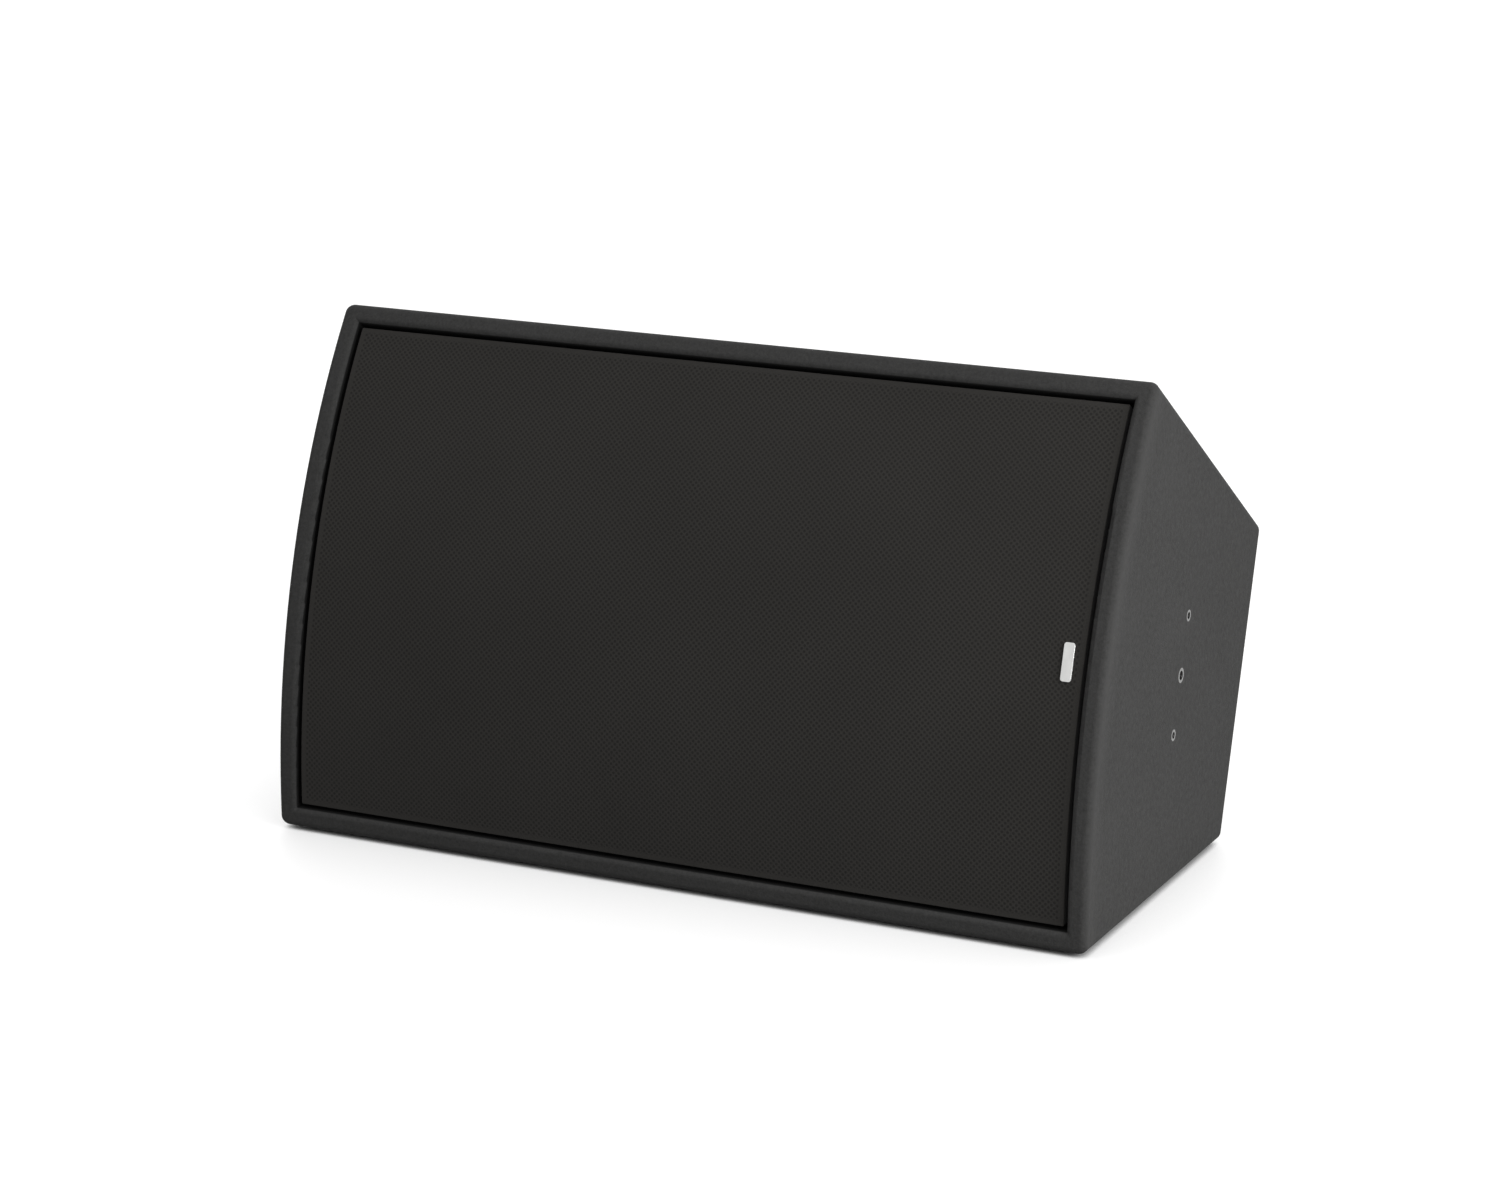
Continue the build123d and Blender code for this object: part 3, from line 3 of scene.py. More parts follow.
import bmesh
import bpy
import numpy as np
from mathutils import Euler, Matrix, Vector


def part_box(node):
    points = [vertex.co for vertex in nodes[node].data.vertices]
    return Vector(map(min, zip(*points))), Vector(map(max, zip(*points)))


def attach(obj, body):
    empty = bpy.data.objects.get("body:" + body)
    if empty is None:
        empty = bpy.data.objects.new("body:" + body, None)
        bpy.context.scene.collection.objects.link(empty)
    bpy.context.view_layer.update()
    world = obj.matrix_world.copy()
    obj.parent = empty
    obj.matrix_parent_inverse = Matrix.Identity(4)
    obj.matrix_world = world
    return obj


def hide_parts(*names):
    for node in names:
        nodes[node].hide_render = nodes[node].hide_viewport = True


# A stage monitor wedge with a bowed cloth front, on a plain pale floor. Sizes are in metres.

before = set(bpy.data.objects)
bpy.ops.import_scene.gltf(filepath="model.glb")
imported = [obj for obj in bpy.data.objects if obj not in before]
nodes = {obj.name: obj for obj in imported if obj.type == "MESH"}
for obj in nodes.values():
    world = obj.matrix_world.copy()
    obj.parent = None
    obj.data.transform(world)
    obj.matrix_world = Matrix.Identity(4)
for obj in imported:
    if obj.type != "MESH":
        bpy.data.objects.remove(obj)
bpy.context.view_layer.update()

# ---------------------------------------------------------------- sizes shared with the CAD
MM = 0.001
FRONT_WIDTH = 397.0 * MM
REAR_WIDTH = 235.5 * MM
DEPTH = 267.5 * MM
BOW = 32.0 * MM
PANEL = 15.0 * MM
REAR_ROUND = 6.0 * MM
HALF_INSIDE = 310.0 * MM
FOOT = 2.8 * MM
GAP = 3.0 * MM
RECESS = 4.0 * MM
TRAY_REAR = 10.95 * MM
BAFFLE_RECESS = 14.0 * MM
WOOFER_ALONG = -140.0 * MM
TAPER = math.atan((FRONT_WIDTH - REAR_WIDTH) / 2 / DEPTH)
SIN, COS = math.sin(TAPER), math.cos(TAPER)
BOW_RADIUS = (FRONT_WIDTH**2 / 4 + BOW**2) / (2 * BOW)
BOW_CENTRE = BOW_RADIUS - BOW

# The lower front corner stands on the feet, and the chord's middle is half the front's width up from it.
CHORD_Z = FOOT + FRONT_WIDTH / 2 * COS
OUTWARD = Vector((0, -COS, SIN))
UPWARD = Vector((0, SIN, COS))
REARWARD = -OUTWARD


def corner_y():
    """The lower front corner's Y, with which the foremost and rearmost points are equally far from Y = 0."""
    round_depth = DEPTH - REAR_ROUND
    round_up = FRONT_WIDTH - round_depth * math.tan(TAPER) - REAR_ROUND / COS
    rearmost = round_up * SIN + round_depth * COS + REAR_ROUND
    foremost = FRONT_WIDTH / 2 * SIN + BOW_CENTRE * COS - BOW_RADIUS
    return -(rearmost + foremost) / 2


CHORD_Y = corner_y() + FRONT_WIDTH / 2 * SIN
CHORD = Vector((0, CHORD_Y, CHORD_Z))


def place(along, up, depth):
    """A point in the cabinet's own directions, from the chord's middle."""
    return CHORD + Vector((along, 0, 0)) + UPWARD * up - OUTWARD * depth


def inner_up(depth, gap=0.0):
    """How far above the chord's middle the top panel's inner face is at a depth, less a gap."""
    return FRONT_WIDTH / 2 - depth * math.tan(TAPER) - (PANEL + gap) / COS


# The cloth over the grille lies a skin's thickness inside the CAD cloth's faces.
CLOTH_RADIUS = BOW_RADIUS - RECESS
CLOTH_HALF = HALF_INSIDE - GAP
EDGE_ROUND = 0.7 * MM
CORNER = 0.5 * MM
SKIN = 0.02 * MM


def front_depth(up):
    """Depth of the cloth's bowed face behind the chord."""
    return BOW_CENTRE - math.sqrt(CLOTH_RADIUS**2 - up**2)


def cloth_edge():
    """How far up the bowed face meets the tapering gap: each guess gives a nearer one."""
    up = inner_up(0, GAP)
    for _ in range(20):
        up = inner_up(front_depth(up), GAP)
    return up


EDGE_UP = cloth_edge()


# ---------------------------------------------------------------- node trees
# A wave texture of this scale has a crest at about every second metre.
BANDS_SCALE = 0.16


class Nodes:
    """A node tree, built node by node."""

    def __init__(self, tree):
        self.tree = tree

    def add(self, kind, **settings):
        node = self.tree.nodes.new("ShaderNode" + kind)
        for key, value in settings.items():
            setattr(node, key, value)
        return node

    def feed(self, socket, value):
        """Links a socket to another one, or sets it to a number or colour. None leaves it alone."""
        if hasattr(value, "is_linked"):
            self.tree.links.new(value, socket)
        elif value is not None:
            socket.default_value = value

    def turned(self, vector, scale, rotation=(0, 0, 0)):
        node = self.add("Mapping")
        self.feed(node.inputs["Vector"], vector)
        node.inputs["Scale"].default_value = scale
        node.inputs["Rotation"].default_value = rotation
        return node.outputs["Vector"]

    def split(self, vector):
        node = self.add("SeparateXYZ")
        self.feed(node.inputs[0], vector)
        return node.outputs

    def joined(self, x, y, z):
        node = self.add("CombineXYZ")
        for socket, value in zip(node.inputs, (x, y, z)):
            self.feed(socket, value)
        return node.outputs[0]

    def math(self, operation, *values):
        node = self.add("Math", operation=operation)
        for socket, value in zip(node.inputs, values):
            self.feed(socket, value)
        return node.outputs[0]

    def weighted(self, *terms):
        """The sum of some values, each times its share."""
        (value, share), rest = terms[0], terms[1:]
        product = self.math("MULTIPLY", value, share)
        return self.math("ADD", product, self.weighted(*rest)) if rest else product

    def noise(self, vector, scale, detail=2.0, rough=0.5, distortion=0.0):
        node = self.add("TexNoise")
        self.feed(node.inputs["Vector"], vector)
        node.inputs["Scale"].default_value = scale
        node.inputs["Detail"].default_value = detail
        node.inputs["Roughness"].default_value = rough
        node.inputs["Distortion"].default_value = distortion
        return node.outputs["Fac"]

    def cells(self, vector, scale, feature="F1", random=1.0):
        node = self.add("TexVoronoi", feature=feature)
        self.feed(node.inputs["Vector"], vector)
        node.inputs["Scale"].default_value = scale
        node.inputs["Randomness"].default_value = random
        return node.outputs["Distance"]

    def waves(self, vector, spacing, direction, distortion, detail):
        """Bands along a direction, bright at about every second spacing: over one thread, under the next."""
        node = self.add("TexWave", wave_type="BANDS", wave_profile="SIN", bands_direction=direction)
        self.feed(node.inputs["Vector"], vector)
        node.inputs["Scale"].default_value = BANDS_SCALE / spacing
        node.inputs["Distortion"].default_value = distortion
        node.inputs["Detail"].default_value = detail
        return node.outputs["Fac"]

    def span(self, value, low, high, to_low=0.0, to_high=1.0, smooth=False):
        """Carries a value from one range to another, and holds it at the ends."""
        node = self.add("MapRange", interpolation_type="SMOOTHSTEP" if smooth else "LINEAR")
        self.feed(node.inputs["Value"], value)
        for key, end in (("From Min", low), ("From Max", high), ("To Min", to_low), ("To Max", to_high)):
            self.feed(node.inputs[key], end)
        return node.outputs["Result"]

    def mix(self, share, near, far):
        """A colour between two others: the nearer one at a share of 0, the farther one at 1."""
        node = self.add("Mix", data_type="RGBA")
        self.feed(node.inputs[0], share)
        for socket, value in ((node.inputs[6], near), (node.inputs[7], far)):
            self.feed(socket, (*value, 1) if isinstance(value, tuple) else value)
        return node.outputs[2]

    def bump(self, height, strength, distance, below=None):
        node = self.add("Bump")
        node.inputs["Strength"].default_value = strength
        node.inputs["Distance"].default_value = distance
        self.feed(node.inputs["Height"], height)
        self.feed(node.inputs["Normal"], below)
        return node.outputs["Normal"]

    def seen(self):
        """1 on rays from the camera, also by way of a gloss or a pane, and 0 on rays that only light."""
        path = self.add("LightPath").outputs
        indirect = self.math("MAXIMUM", path["Is Glossy Ray"], path["Is Transmission Ray"])
        return self.math("MAXIMUM", path["Is Camera Ray"], indirect)


class Finish(Nodes):
    """One procedural material. Numbers that are the same all over go on the shader itself."""

    def __init__(self, name, color, **values):
        self.material = bpy.data.materials.new(name)
        self.material.use_nodes = True
        super().__init__(self.material.node_tree)
        self.shader = self.tree.nodes["Principled BSDF"]
        self.base = color
        self.shader.inputs["Base Color"].default_value = (*color, 1)
        self.material.diffuse_color = (*color, 1)
        for key, value in values.items():
            self.shader.inputs[key.replace("_", " ")].default_value = value

    def here(self):
        """Object coordinates, which are the row frame's at rest."""
        return self.add("TexCoord").outputs["Object"]

    def uv(self):
        return self.add("TexCoord").outputs["UV"]

    def dark(self, share):
        """The base colour at a share of its strength."""
        return tuple(channel * share for channel in self.base)

    def mottled(self, value, low, high, dim, bright):
        """The base colour, from one share of its strength to another as a value goes from low to high."""
        return self.mix(self.span(value, low, high), self.dark(dim), self.dark(bright))

    def color(self, value):
        self.feed(self.shader.inputs["Base Color"], value)
        return self

    def rough(self, value):
        self.feed(self.shader.inputs["Roughness"], value)
        return self

    def normal(self, value):
        self.feed(self.shader.inputs["Normal"], value)
        return self


def chord_coordinates(f):
    """X along the cabinet and Y up the chord's direction."""
    x, y, z = f.split(f.here())[:3]
    up = f.math("ADD", f.math("MULTIPLY", y, SIN), f.math("MULTIPLY", z, COS))
    return x, f.math("SUBTRACT", up, CHORD_Y * SIN + CHORD_Z * COS)


def cabinet_coordinates(f):
    """X along the cabinet, Y up the chord's direction and Z behind the chord."""
    x, up = chord_coordinates(f)
    y, z = f.split(f.here())[1:3]
    back = f.math("SUBTRACT", f.math("MULTIPLY", y, COS), f.math("MULTIPLY", z, SIN))
    return x, up, f.math("SUBTRACT", back, CHORD_Y * COS - CHORD_Z * SIN)


# ---------------------------------------------------------------- perforation
HOLE_ALONG = 4.31 * MM
HOLE_UP = 4.22 * MM
# So many cells are added to both ways, which keeps their count above 0.
WHOLE_CELLS = 200.0


def hole_pattern(f, x, y, radius, edge):
    """1 inside the holes of a staggered pattern and 0 between them, with soft edges."""
    found = []
    for shift in (0.0, 0.5):
        parts = []
        for value, step in ((x, HOLE_ALONG), (y, HOLE_UP)):
            cell = f.math("FRACT", f.math("ADD", f.math("DIVIDE", value, step), shift + WHOLE_CELLS))
            parts.append(f.math("POWER", f.math("MULTIPLY", f.math("SUBTRACT", cell, 0.5), step), 2.0))
        found.append(f.math("SQRT", f.math("ADD", *parts)))
    nearest = f.math("MINIMUM", *found)
    return f.span(nearest, radius - edge, radius + edge, 1.0, 0.0, smooth=True)


def within(f, x, y, half_x, half_y):
    """1 inside a rectangle about the middle, fading to 0 over its last millimetre."""
    sides = [
        f.span(f.math("ABSOLUTE", value), half - 1 * MM, half, 1.0, 0.0)
        for value, half in ((x, half_x), (y, half_y))
    ]
    return f.math("MULTIPLY", *sides)


# ---------------------------------------------------------------- finishes
def painted_recess_shade(f, x, up, depth):
    """Mask of the painted shade: 1 on the frame's inner walls beside the grille, fading to 0 over the lip."""
    beside = f.math("SUBTRACT", f.math("ABSOLUTE", x), HALF_INSIDE)
    wall = f.math("SUBTRACT", FRONT_WIDTH / 2 - PANEL / COS, f.math("MULTIPLY", depth, math.tan(TAPER)))
    above = f.math("SUBTRACT", f.math("ABSOLUTE", up), wall)
    outside = f.math("MAXIMUM", beside, above)
    near_wall = f.span(outside, -0.5 * MM, -0.2 * MM)
    near_front = f.span(depth, 17 * MM, 18 * MM, 1.0, 0.0)
    off_lip = f.span(outside, 0.05 * MM, 0.7 * MM, 1.0, 0.0, smooth=True)
    return f.math("MULTIPLY", f.math("MULTIPLY", near_wall, near_front), off_lip)


def textured_paint(name, color):
    """Sprayed structure paint: fine droplets over a slightly uneven coat. Painted shade darkens it inside the
    recess, and a painted highlight brightens the end faces near the front."""
    f = Finish(name, color, Specular_IOR_Level=0.08)
    here = f.here()
    broad = f.noise(here, 9.0, 3.0)
    fine = f.noise(here, 1150.0, 3.0, 0.6)
    coarse = f.noise(here, 420.0, 2.0, 0.6)
    drops = f.cells(here, 780.0, "SMOOTH_F1")
    speck = f.weighted((fine, 0.35), (coarse, 0.45), (broad, 0.2))
    coat = f.mottled(speck, 0.34, 0.66, 0.76, 1.24)
    x, up, depth = cabinet_coordinates(f)
    bow = f.math("SQRT", f.math("SUBTRACT", BOW_RADIUS**2, f.math("POWER", up, 2.0)))
    behind = f.math("ADD", f.math("SUBTRACT", depth, BOW_CENTRE), bow)
    # Painted highlight: the end faces are lightened along the front edge.
    end_face = f.span(f.math("ABSOLUTE", x), 323.5 * MM, 324.9 * MM)
    painted_highlight = f.math("MULTIPLY", end_face, f.span(behind, 4 * MM, 26 * MM, 0.75, 0.0))
    coat = f.mix(painted_highlight, coat, f.dark(1.3))
    # Painted shade: the recess walls beside the grille are darkened to near black.
    f.color(f.mix(painted_recess_shade(f, x, up, depth), coat, f.dark(0.15)))
    f.rough(f.span(f.noise(here, 240.0, 4.0), 0.3, 0.7, 0.66, 0.78))
    pits = f.bump(f.math("MULTIPLY", drops, -1.0), 0.22, 0.6 * MM)
    return f.normal(f.bump(fine, 0.30, 0.35 * MM, pits))


def powder_coat(name, color, rough=(0.42, 0.55)):
    """Baked powder coat with a fine orange peel."""
    f = Finish(name, color, Specular_IOR_Level=0.4)
    here = f.here()
    peel = f.noise(here, 520.0, 3.0, 0.55)
    f.color(f.mottled(f.noise(here, 30.0, 3.0), 0.3, 0.7, 0.85, 1.2))
    f.rough(f.span(peel, 0.35, 0.65, *rough))
    return f.normal(f.bump(peel, 0.25, 0.0003))


def moulded(name, color, rough=(0.34, 0.5), grain=900.0):
    """Moulded plastic with a spark-eroded texture and a little flow unevenness."""
    f = Finish(name, color, Specular_IOR_Level=0.4)
    here = f.here()
    fine = f.noise(here, grain, 3.0, 0.6)
    flow = f.noise(f.turned(here, (1, 3, 1)), 18.0, 2.0, 0.5, 0.6)
    f.color(f.mottled(flow, 0.3, 0.7, 0.82, 1.22))
    f.rough(f.span(f.weighted((fine, 0.5), (flow, 0.5)), 0.35, 0.65, *rough))
    return f.normal(f.bump(fine, 0.16, 0.0002))


def plated(name, color, rough=(0.2, 0.34), stain=0.82):
    """Plated steel: a fine cloudy film with short scratches."""
    f = Finish(name, color, Metallic=1.0)
    here = f.here()
    cloud = f.noise(here, 160.0, 4.0, 0.6, 0.4)
    scrape = f.noise(f.turned(here, (1, 1, 14), (0.4, 0.2, 0.5)), 900.0, 2.0)
    f.color(f.mottled(cloud, 0.3, 0.7, stain, 1.05))
    f.rough(f.span(f.weighted((cloud, 0.6), (scrape, 0.4)), 0.35, 0.65, *rough))
    return f.normal(f.bump(scrape, 0.08, 0.0001))


def turned_steel(name, color):
    """Turned steel: fine tool marks that follow each other along Y."""
    f = Finish(name, color, Metallic=1.0)
    here = f.here()
    marks = f.waves(here, 0.4 * MM, "Y", 0.6, 1.0)
    cloud = f.noise(here, 70.0, 4.0)
    f.color(f.mottled(cloud, 0.3, 0.7, 0.8, 1.05))
    f.rough(f.span(cloud, 0.3, 0.7, 0.26, 0.42))
    return f.normal(f.bump(marks, 0.12, 0.00008))


def foamed(name, color):
    """Open-cell foam: pores of mixed size."""
    f = Finish(name, color, Roughness=0.95, Specular_IOR_Level=0.1, Sheen_Weight=0.15, Sheen_Roughness=0.6)
    here = f.here()
    pores = f.cells(here, 900.0)
    large = f.cells(here, 315.0)
    both = f.weighted((pores, 0.6), (large, 0.4))
    f.color(f.mottled(both, 0.05, 0.55, 0.35, 1.25))
    return f.normal(f.bump(both, 0.8, 1.2 * MM))


def woven(name, color, spacing):
    """Coated or impregnated cloth: crossing threads under a thin coat."""
    f = Finish(name, color, Specular_IOR_Level=0.1, Sheen_Weight=0.1, Sheen_Roughness=0.5)
    x, up = chord_coordinates(f)
    plane = f.joined(x, up, 0.0)
    warp = f.waves(plane, spacing, "X", 0.8, 2.0)
    weft = f.waves(plane, spacing, "Y", 0.8, 2.0)
    weave = f.math("MULTIPLY", warp, weft)
    coat = f.noise(f.here(), 120.0, 3.0)
    both = f.weighted((weave, 0.6), (coat, 0.4))
    f.color(f.mottled(both, 0.15, 0.6, 0.7, 1.2))
    f.rough(f.span(coat, 0.3, 0.7, 0.85, 0.97))
    return f.normal(f.bump(weave, 0.4, 0.0002))


def birch(name):
    """Birch plywood: long grain and fibres along X, with thin plies as bands across it."""
    f = Finish(name, (0.55, 0.42, 0.27), Specular_IOR_Level=0.3)
    here = f.here()
    grain = f.noise(f.turned(here, (3, 40, 40)), 6.0, 5.0, 0.6, 0.5)
    fibre = f.noise(f.turned(here, (40, 900, 900)), 1.2, 3.0, 0.6)
    plies = f.waves(here, BANDS_SCALE / 110.0, "X", 0.3, 1.0)
    shade = f.weighted((grain, 0.55), (fibre, 0.3), (plies, 0.15))
    f.color(f.mottled(shade, 0.3, 0.7, 0.62, 1.12))
    f.rough(f.span(grain, 0.3, 0.7, 0.6, 0.78))
    return f.normal(f.bump(fibre, 0.3, 0.0003))


def sintered(name, color):
    """Ferrite: fine grit with small chips out of it."""
    f = Finish(name, color, Specular_IOR_Level=0.45)
    here = f.here()
    grit = f.noise(here, 1400.0, 4.0, 0.7)
    chips = f.span(f.cells(here, 160.0), 0.0, 0.16, 1.0, 0.0)
    f.color(f.mottled(grit, 0.3, 0.7, 0.7, 1.25))
    f.rough(f.span(grit, 0.3, 0.7, 0.5, 0.7))
    return f.normal(f.bump(f.math("SUBTRACT", grit, chips), 0.35, 0.0004))


def pulp(name, color):
    """Pressed paper cone: felted fibres and shallow ribs round the cone's axis."""
    f = Finish(name, color, Specular_IOR_Level=0.2)
    here = f.here()
    fibres = f.noise(f.turned(here, (1, 4, 1), (0.5, 0.3, 0.8)), 420.0, 5.0, 0.65, 1.2)
    x, up = chord_coordinates(f)
    across = f.math("POWER", f.math("ADD", x, -WOOFER_ALONG), 2.0)
    centre = f.math("SQRT", f.math("ADD", across, f.math("POWER", up, 2.0)))
    ribs = f.math("SINE", f.math("MULTIPLY", centre, 2 * math.pi / (10.5 * MM)))
    f.color(f.mottled(fibres, 0.3, 0.7, 0.68, 1.4))
    f.rough(f.span(fibres, 0.3, 0.7, 0.62, 0.82))
    return f.normal(f.bump(fibres, 0.35, 0.0004, f.bump(ribs, 0.25, 0.0008)))


def film(name, color):
    """Smooth film or varnish with faint streaks."""
    f = Finish(name, color, Specular_IOR_Level=0.5, Coat_Weight=0.4, Coat_Roughness=0.12)
    here = f.here()
    streaks = f.noise(f.turned(here, (1, 6, 1)), 140.0, 3.0, 0.5, 0.5)
    f.color(f.mottled(streaks, 0.3, 0.7, 0.75, 1.1))
    f.rough(f.span(streaks, 0.3, 0.7, 0.16, 0.3))
    return f.normal(f.bump(streaks, 0.1, 0.0001))


def wound_wire(name):
    """Enamelled copper wire: its close turns are bands up Z."""
    f = Finish(name, (0.72, 0.38, 0.2), Metallic=0.85, Coat_Weight=0.6, Coat_Roughness=0.15)
    here = f.here()
    turns = f.waves(here, 0.9 * MM, "Z", 0.15, 1.0)
    tint = f.noise(here, 90.0, 3.0)
    f.color(f.mix(f.math("MULTIPLY", turns, tint), f.dark(0.4), f.dark(1.05)))
    f.rough(f.span(tint, 0.3, 0.7, 0.24, 0.4))
    return f.normal(f.bump(turns, 0.8, 0.0004))


def board(name):
    """Circuit board: solder mask over copper areas, with tinned pads."""
    f = Finish(name, (0.05, 0.16, 0.08), Specular_IOR_Level=0.5, Coat_Weight=0.3, Coat_Roughness=0.2)
    here = f.here()
    flat = f.turned(here, (1, 1, 0.01))
    tracks = f.cells(flat, 85.0, "DISTANCE_TO_EDGE", 0.6)
    gaps = f.span(tracks, 0.03, 0.045, 1.0, 0.0)
    pads = f.span(f.cells(flat, 120.0, "F1", 0.3), 0.12, 0.14, 1.0, 0.0)
    masked = f.mix(gaps, f.dark(1.35), f.dark(0.55))
    f.color(f.mix(pads, masked, (0.55, 0.55, 0.52)))
    f.rough(f.span(f.noise(here, 300.0, 3.0), 0.3, 0.7, 0.28, 0.42))
    return f.normal(f.bump(f.math("SUBTRACT", 1.0, gaps), 0.4, 0.0001))


def rubbery(name, color, rough=(0.7, 0.85)):
    """Moulded rubber, fine-grained and a little dusty."""
    f = Finish(name, color, Specular_IOR_Level=0.3)
    here = f.here()
    fine = f.noise(here, 1300.0, 3.0)
    dust = f.noise(here, 60.0, 4.0, 0.6)
    f.color(f.mottled(dust, 0.35, 0.75, 0.85, 1.7))
    f.rough(f.span(fine, 0.3, 0.7, *rough))
    return f.normal(f.bump(fine, 0.3, 0.0002))


def cement(name):
    """White cement body of a power resistor."""
    f = Finish(name, (0.75, 0.74, 0.7), Specular_IOR_Level=0.25)
    here = f.here()
    grit = f.noise(here, 900.0, 5.0, 0.7)
    f.color(f.mottled(grit, 0.3, 0.75, 0.72, 1.04))
    f.rough(f.span(grit, 0.3, 0.7, 0.75, 0.92))
    return f.normal(f.bump(grit, 0.5, 0.0004))


def threaded(name, color):
    """Zinc-plated insert: bright face, and walls painted near-black as shade in the bore, with thread marks along
    X.
    """
    f = Finish(name, color, Metallic=1.0)
    here = f.here()
    cloud = f.noise(here, 260.0, 4.0, 0.6)
    facing = f.math("ABSOLUTE", f.split(f.add("NewGeometry").outputs["Normal"])[0])
    wall = f.span(facing, 0.3, 0.6, 1.0, 0.0)
    thread = f.math("SINE", f.math("MULTIPLY", f.split(here)[0], 2 * math.pi / (1.25 * MM)))
    face = f.mottled(cloud, 0.3, 0.7, 0.85, 1.1)
    # Painted shade: the bore's walls are darkened to near black, with thread marks.
    f.color(f.mix(f.math("MULTIPLY", wall, f.span(thread, -0.2, 0.8, 1.0, 0.75)), face, f.dark(0.05)))
    f.rough(f.span(cloud, 0.3, 0.7, 0.2, 0.36))
    return f.normal(f.bump(f.math("MULTIPLY", wall, thread), 0.8, 0.0004))


def perforated(name, color):
    """Powder-coated steel with a staggered pattern of round dark holes, on the sheet's face only."""
    f = Finish(name, color, Specular_IOR_Level=0.4)
    x, up = chord_coordinates(f)
    pattern = hole_pattern(f, x, up, 1.0 * MM, 0.12 * MM)
    holes = f.math("MULTIPLY", pattern, within(f, x, up, 300 * MM, 172 * MM))
    peel = f.noise(f.here(), 520.0, 3.0, 0.55)
    coat = f.mottled(peel, 0.3, 0.7, 0.9, 1.25)
    f.color(f.mix(holes, coat, (0.001, 0.001, 0.001)))
    f.rough(f.span(f.math("MAXIMUM", holes, f.math("MULTIPLY", peel, 0.6)), 0.2, 1.0, 0.4, 0.95))
    return f.normal(f.bump(f.math("SUBTRACT", f.math("MULTIPLY", peel, 0.1), holes), 0.9, 0.0006))


def brushed_plate(name, color):
    """Satin aluminium, brushed along its length."""
    f = Finish(name, color, Metallic=1.0, Anisotropic=0.4)
    x, up = chord_coordinates(f)
    lines = f.noise(f.joined(f.math("MULTIPLY", x, 60.0), up, 0.0), 220.0, 3.0, 0.6)
    f.color(f.mottled(lines, 0.3, 0.7, 0.88, 1.04))
    f.rough(f.span(lines, 0.3, 0.7, 0.3, 0.42))
    return f.normal(f.bump(lines, 0.12, 0.0001))


def acoustic_cloth(name, color):
    """Thin black cloth over perforated steel: the holes show through as soft dark dots. Its sides are painted dark
    as shade in the gap.
    """
    f = Finish(name, color, Specular_IOR_Level=0.12, Sheen_Weight=0.06, Sheen_Roughness=0.5)
    u, v = f.split(f.uv())[:2]
    dots = hole_pattern(f, u, v, 0.98 * MM, 0.42 * MM)
    dots = f.math("MULTIPLY", dots, within(f, u, v, 303.5 * MM, 179.5 * MM))
    plane = f.joined(u, v, 0.0)
    warp = f.waves(plane, 0.5 * MM, "X", 0.6, 2.0)
    weft = f.waves(plane, 0.5 * MM, "Y", 0.6, 2.0)
    weave = f.math("MULTIPLY", warp, weft)
    slub = f.noise(f.joined(f.math("MULTIPLY", u, 6.0), v, 0.0), 420.0, 3.0, 0.6)
    broad = f.noise(plane, 7.0, 3.0)
    tone = f.weighted((weave, 0.35), (slub, 0.4), (broad, 0.25))
    thread = f.mottled(tone, 0.2, 0.7, 0.62, 1.36)
    face = f.mix(f.math("MULTIPLY", dots, 0.58), thread, f.dark(0.2))
    half_u = CLOTH_HALF - EDGE_ROUND
    half_v = CLOTH_RADIUS * math.asin((EDGE_UP - EDGE_ROUND) / CLOTH_RADIUS)
    past_u = f.math("SUBTRACT", f.math("ABSOLUTE", u), half_u)
    past_v = f.math("SUBTRACT", f.math("ABSOLUTE", v), half_v)
    # Painted shade: the cloth darkens where it rolls over the edge into the gap.
    painted_side_shade = f.span(f.math("MAXIMUM", past_u, past_v), 0.4 * MM, 1.4 * MM, 0.0, 0.85, smooth=True)
    f.color(f.mix(painted_side_shade, face, f.dark(0.06)))
    f.rough(f.span(slub, 0.3, 0.7, 0.86, 0.97))
    sag = f.bump(f.math("MULTIPLY", dots, -1.0), 0.35, 0.0004)
    return f.normal(f.bump(weave, 0.35, 0.00015, sag))


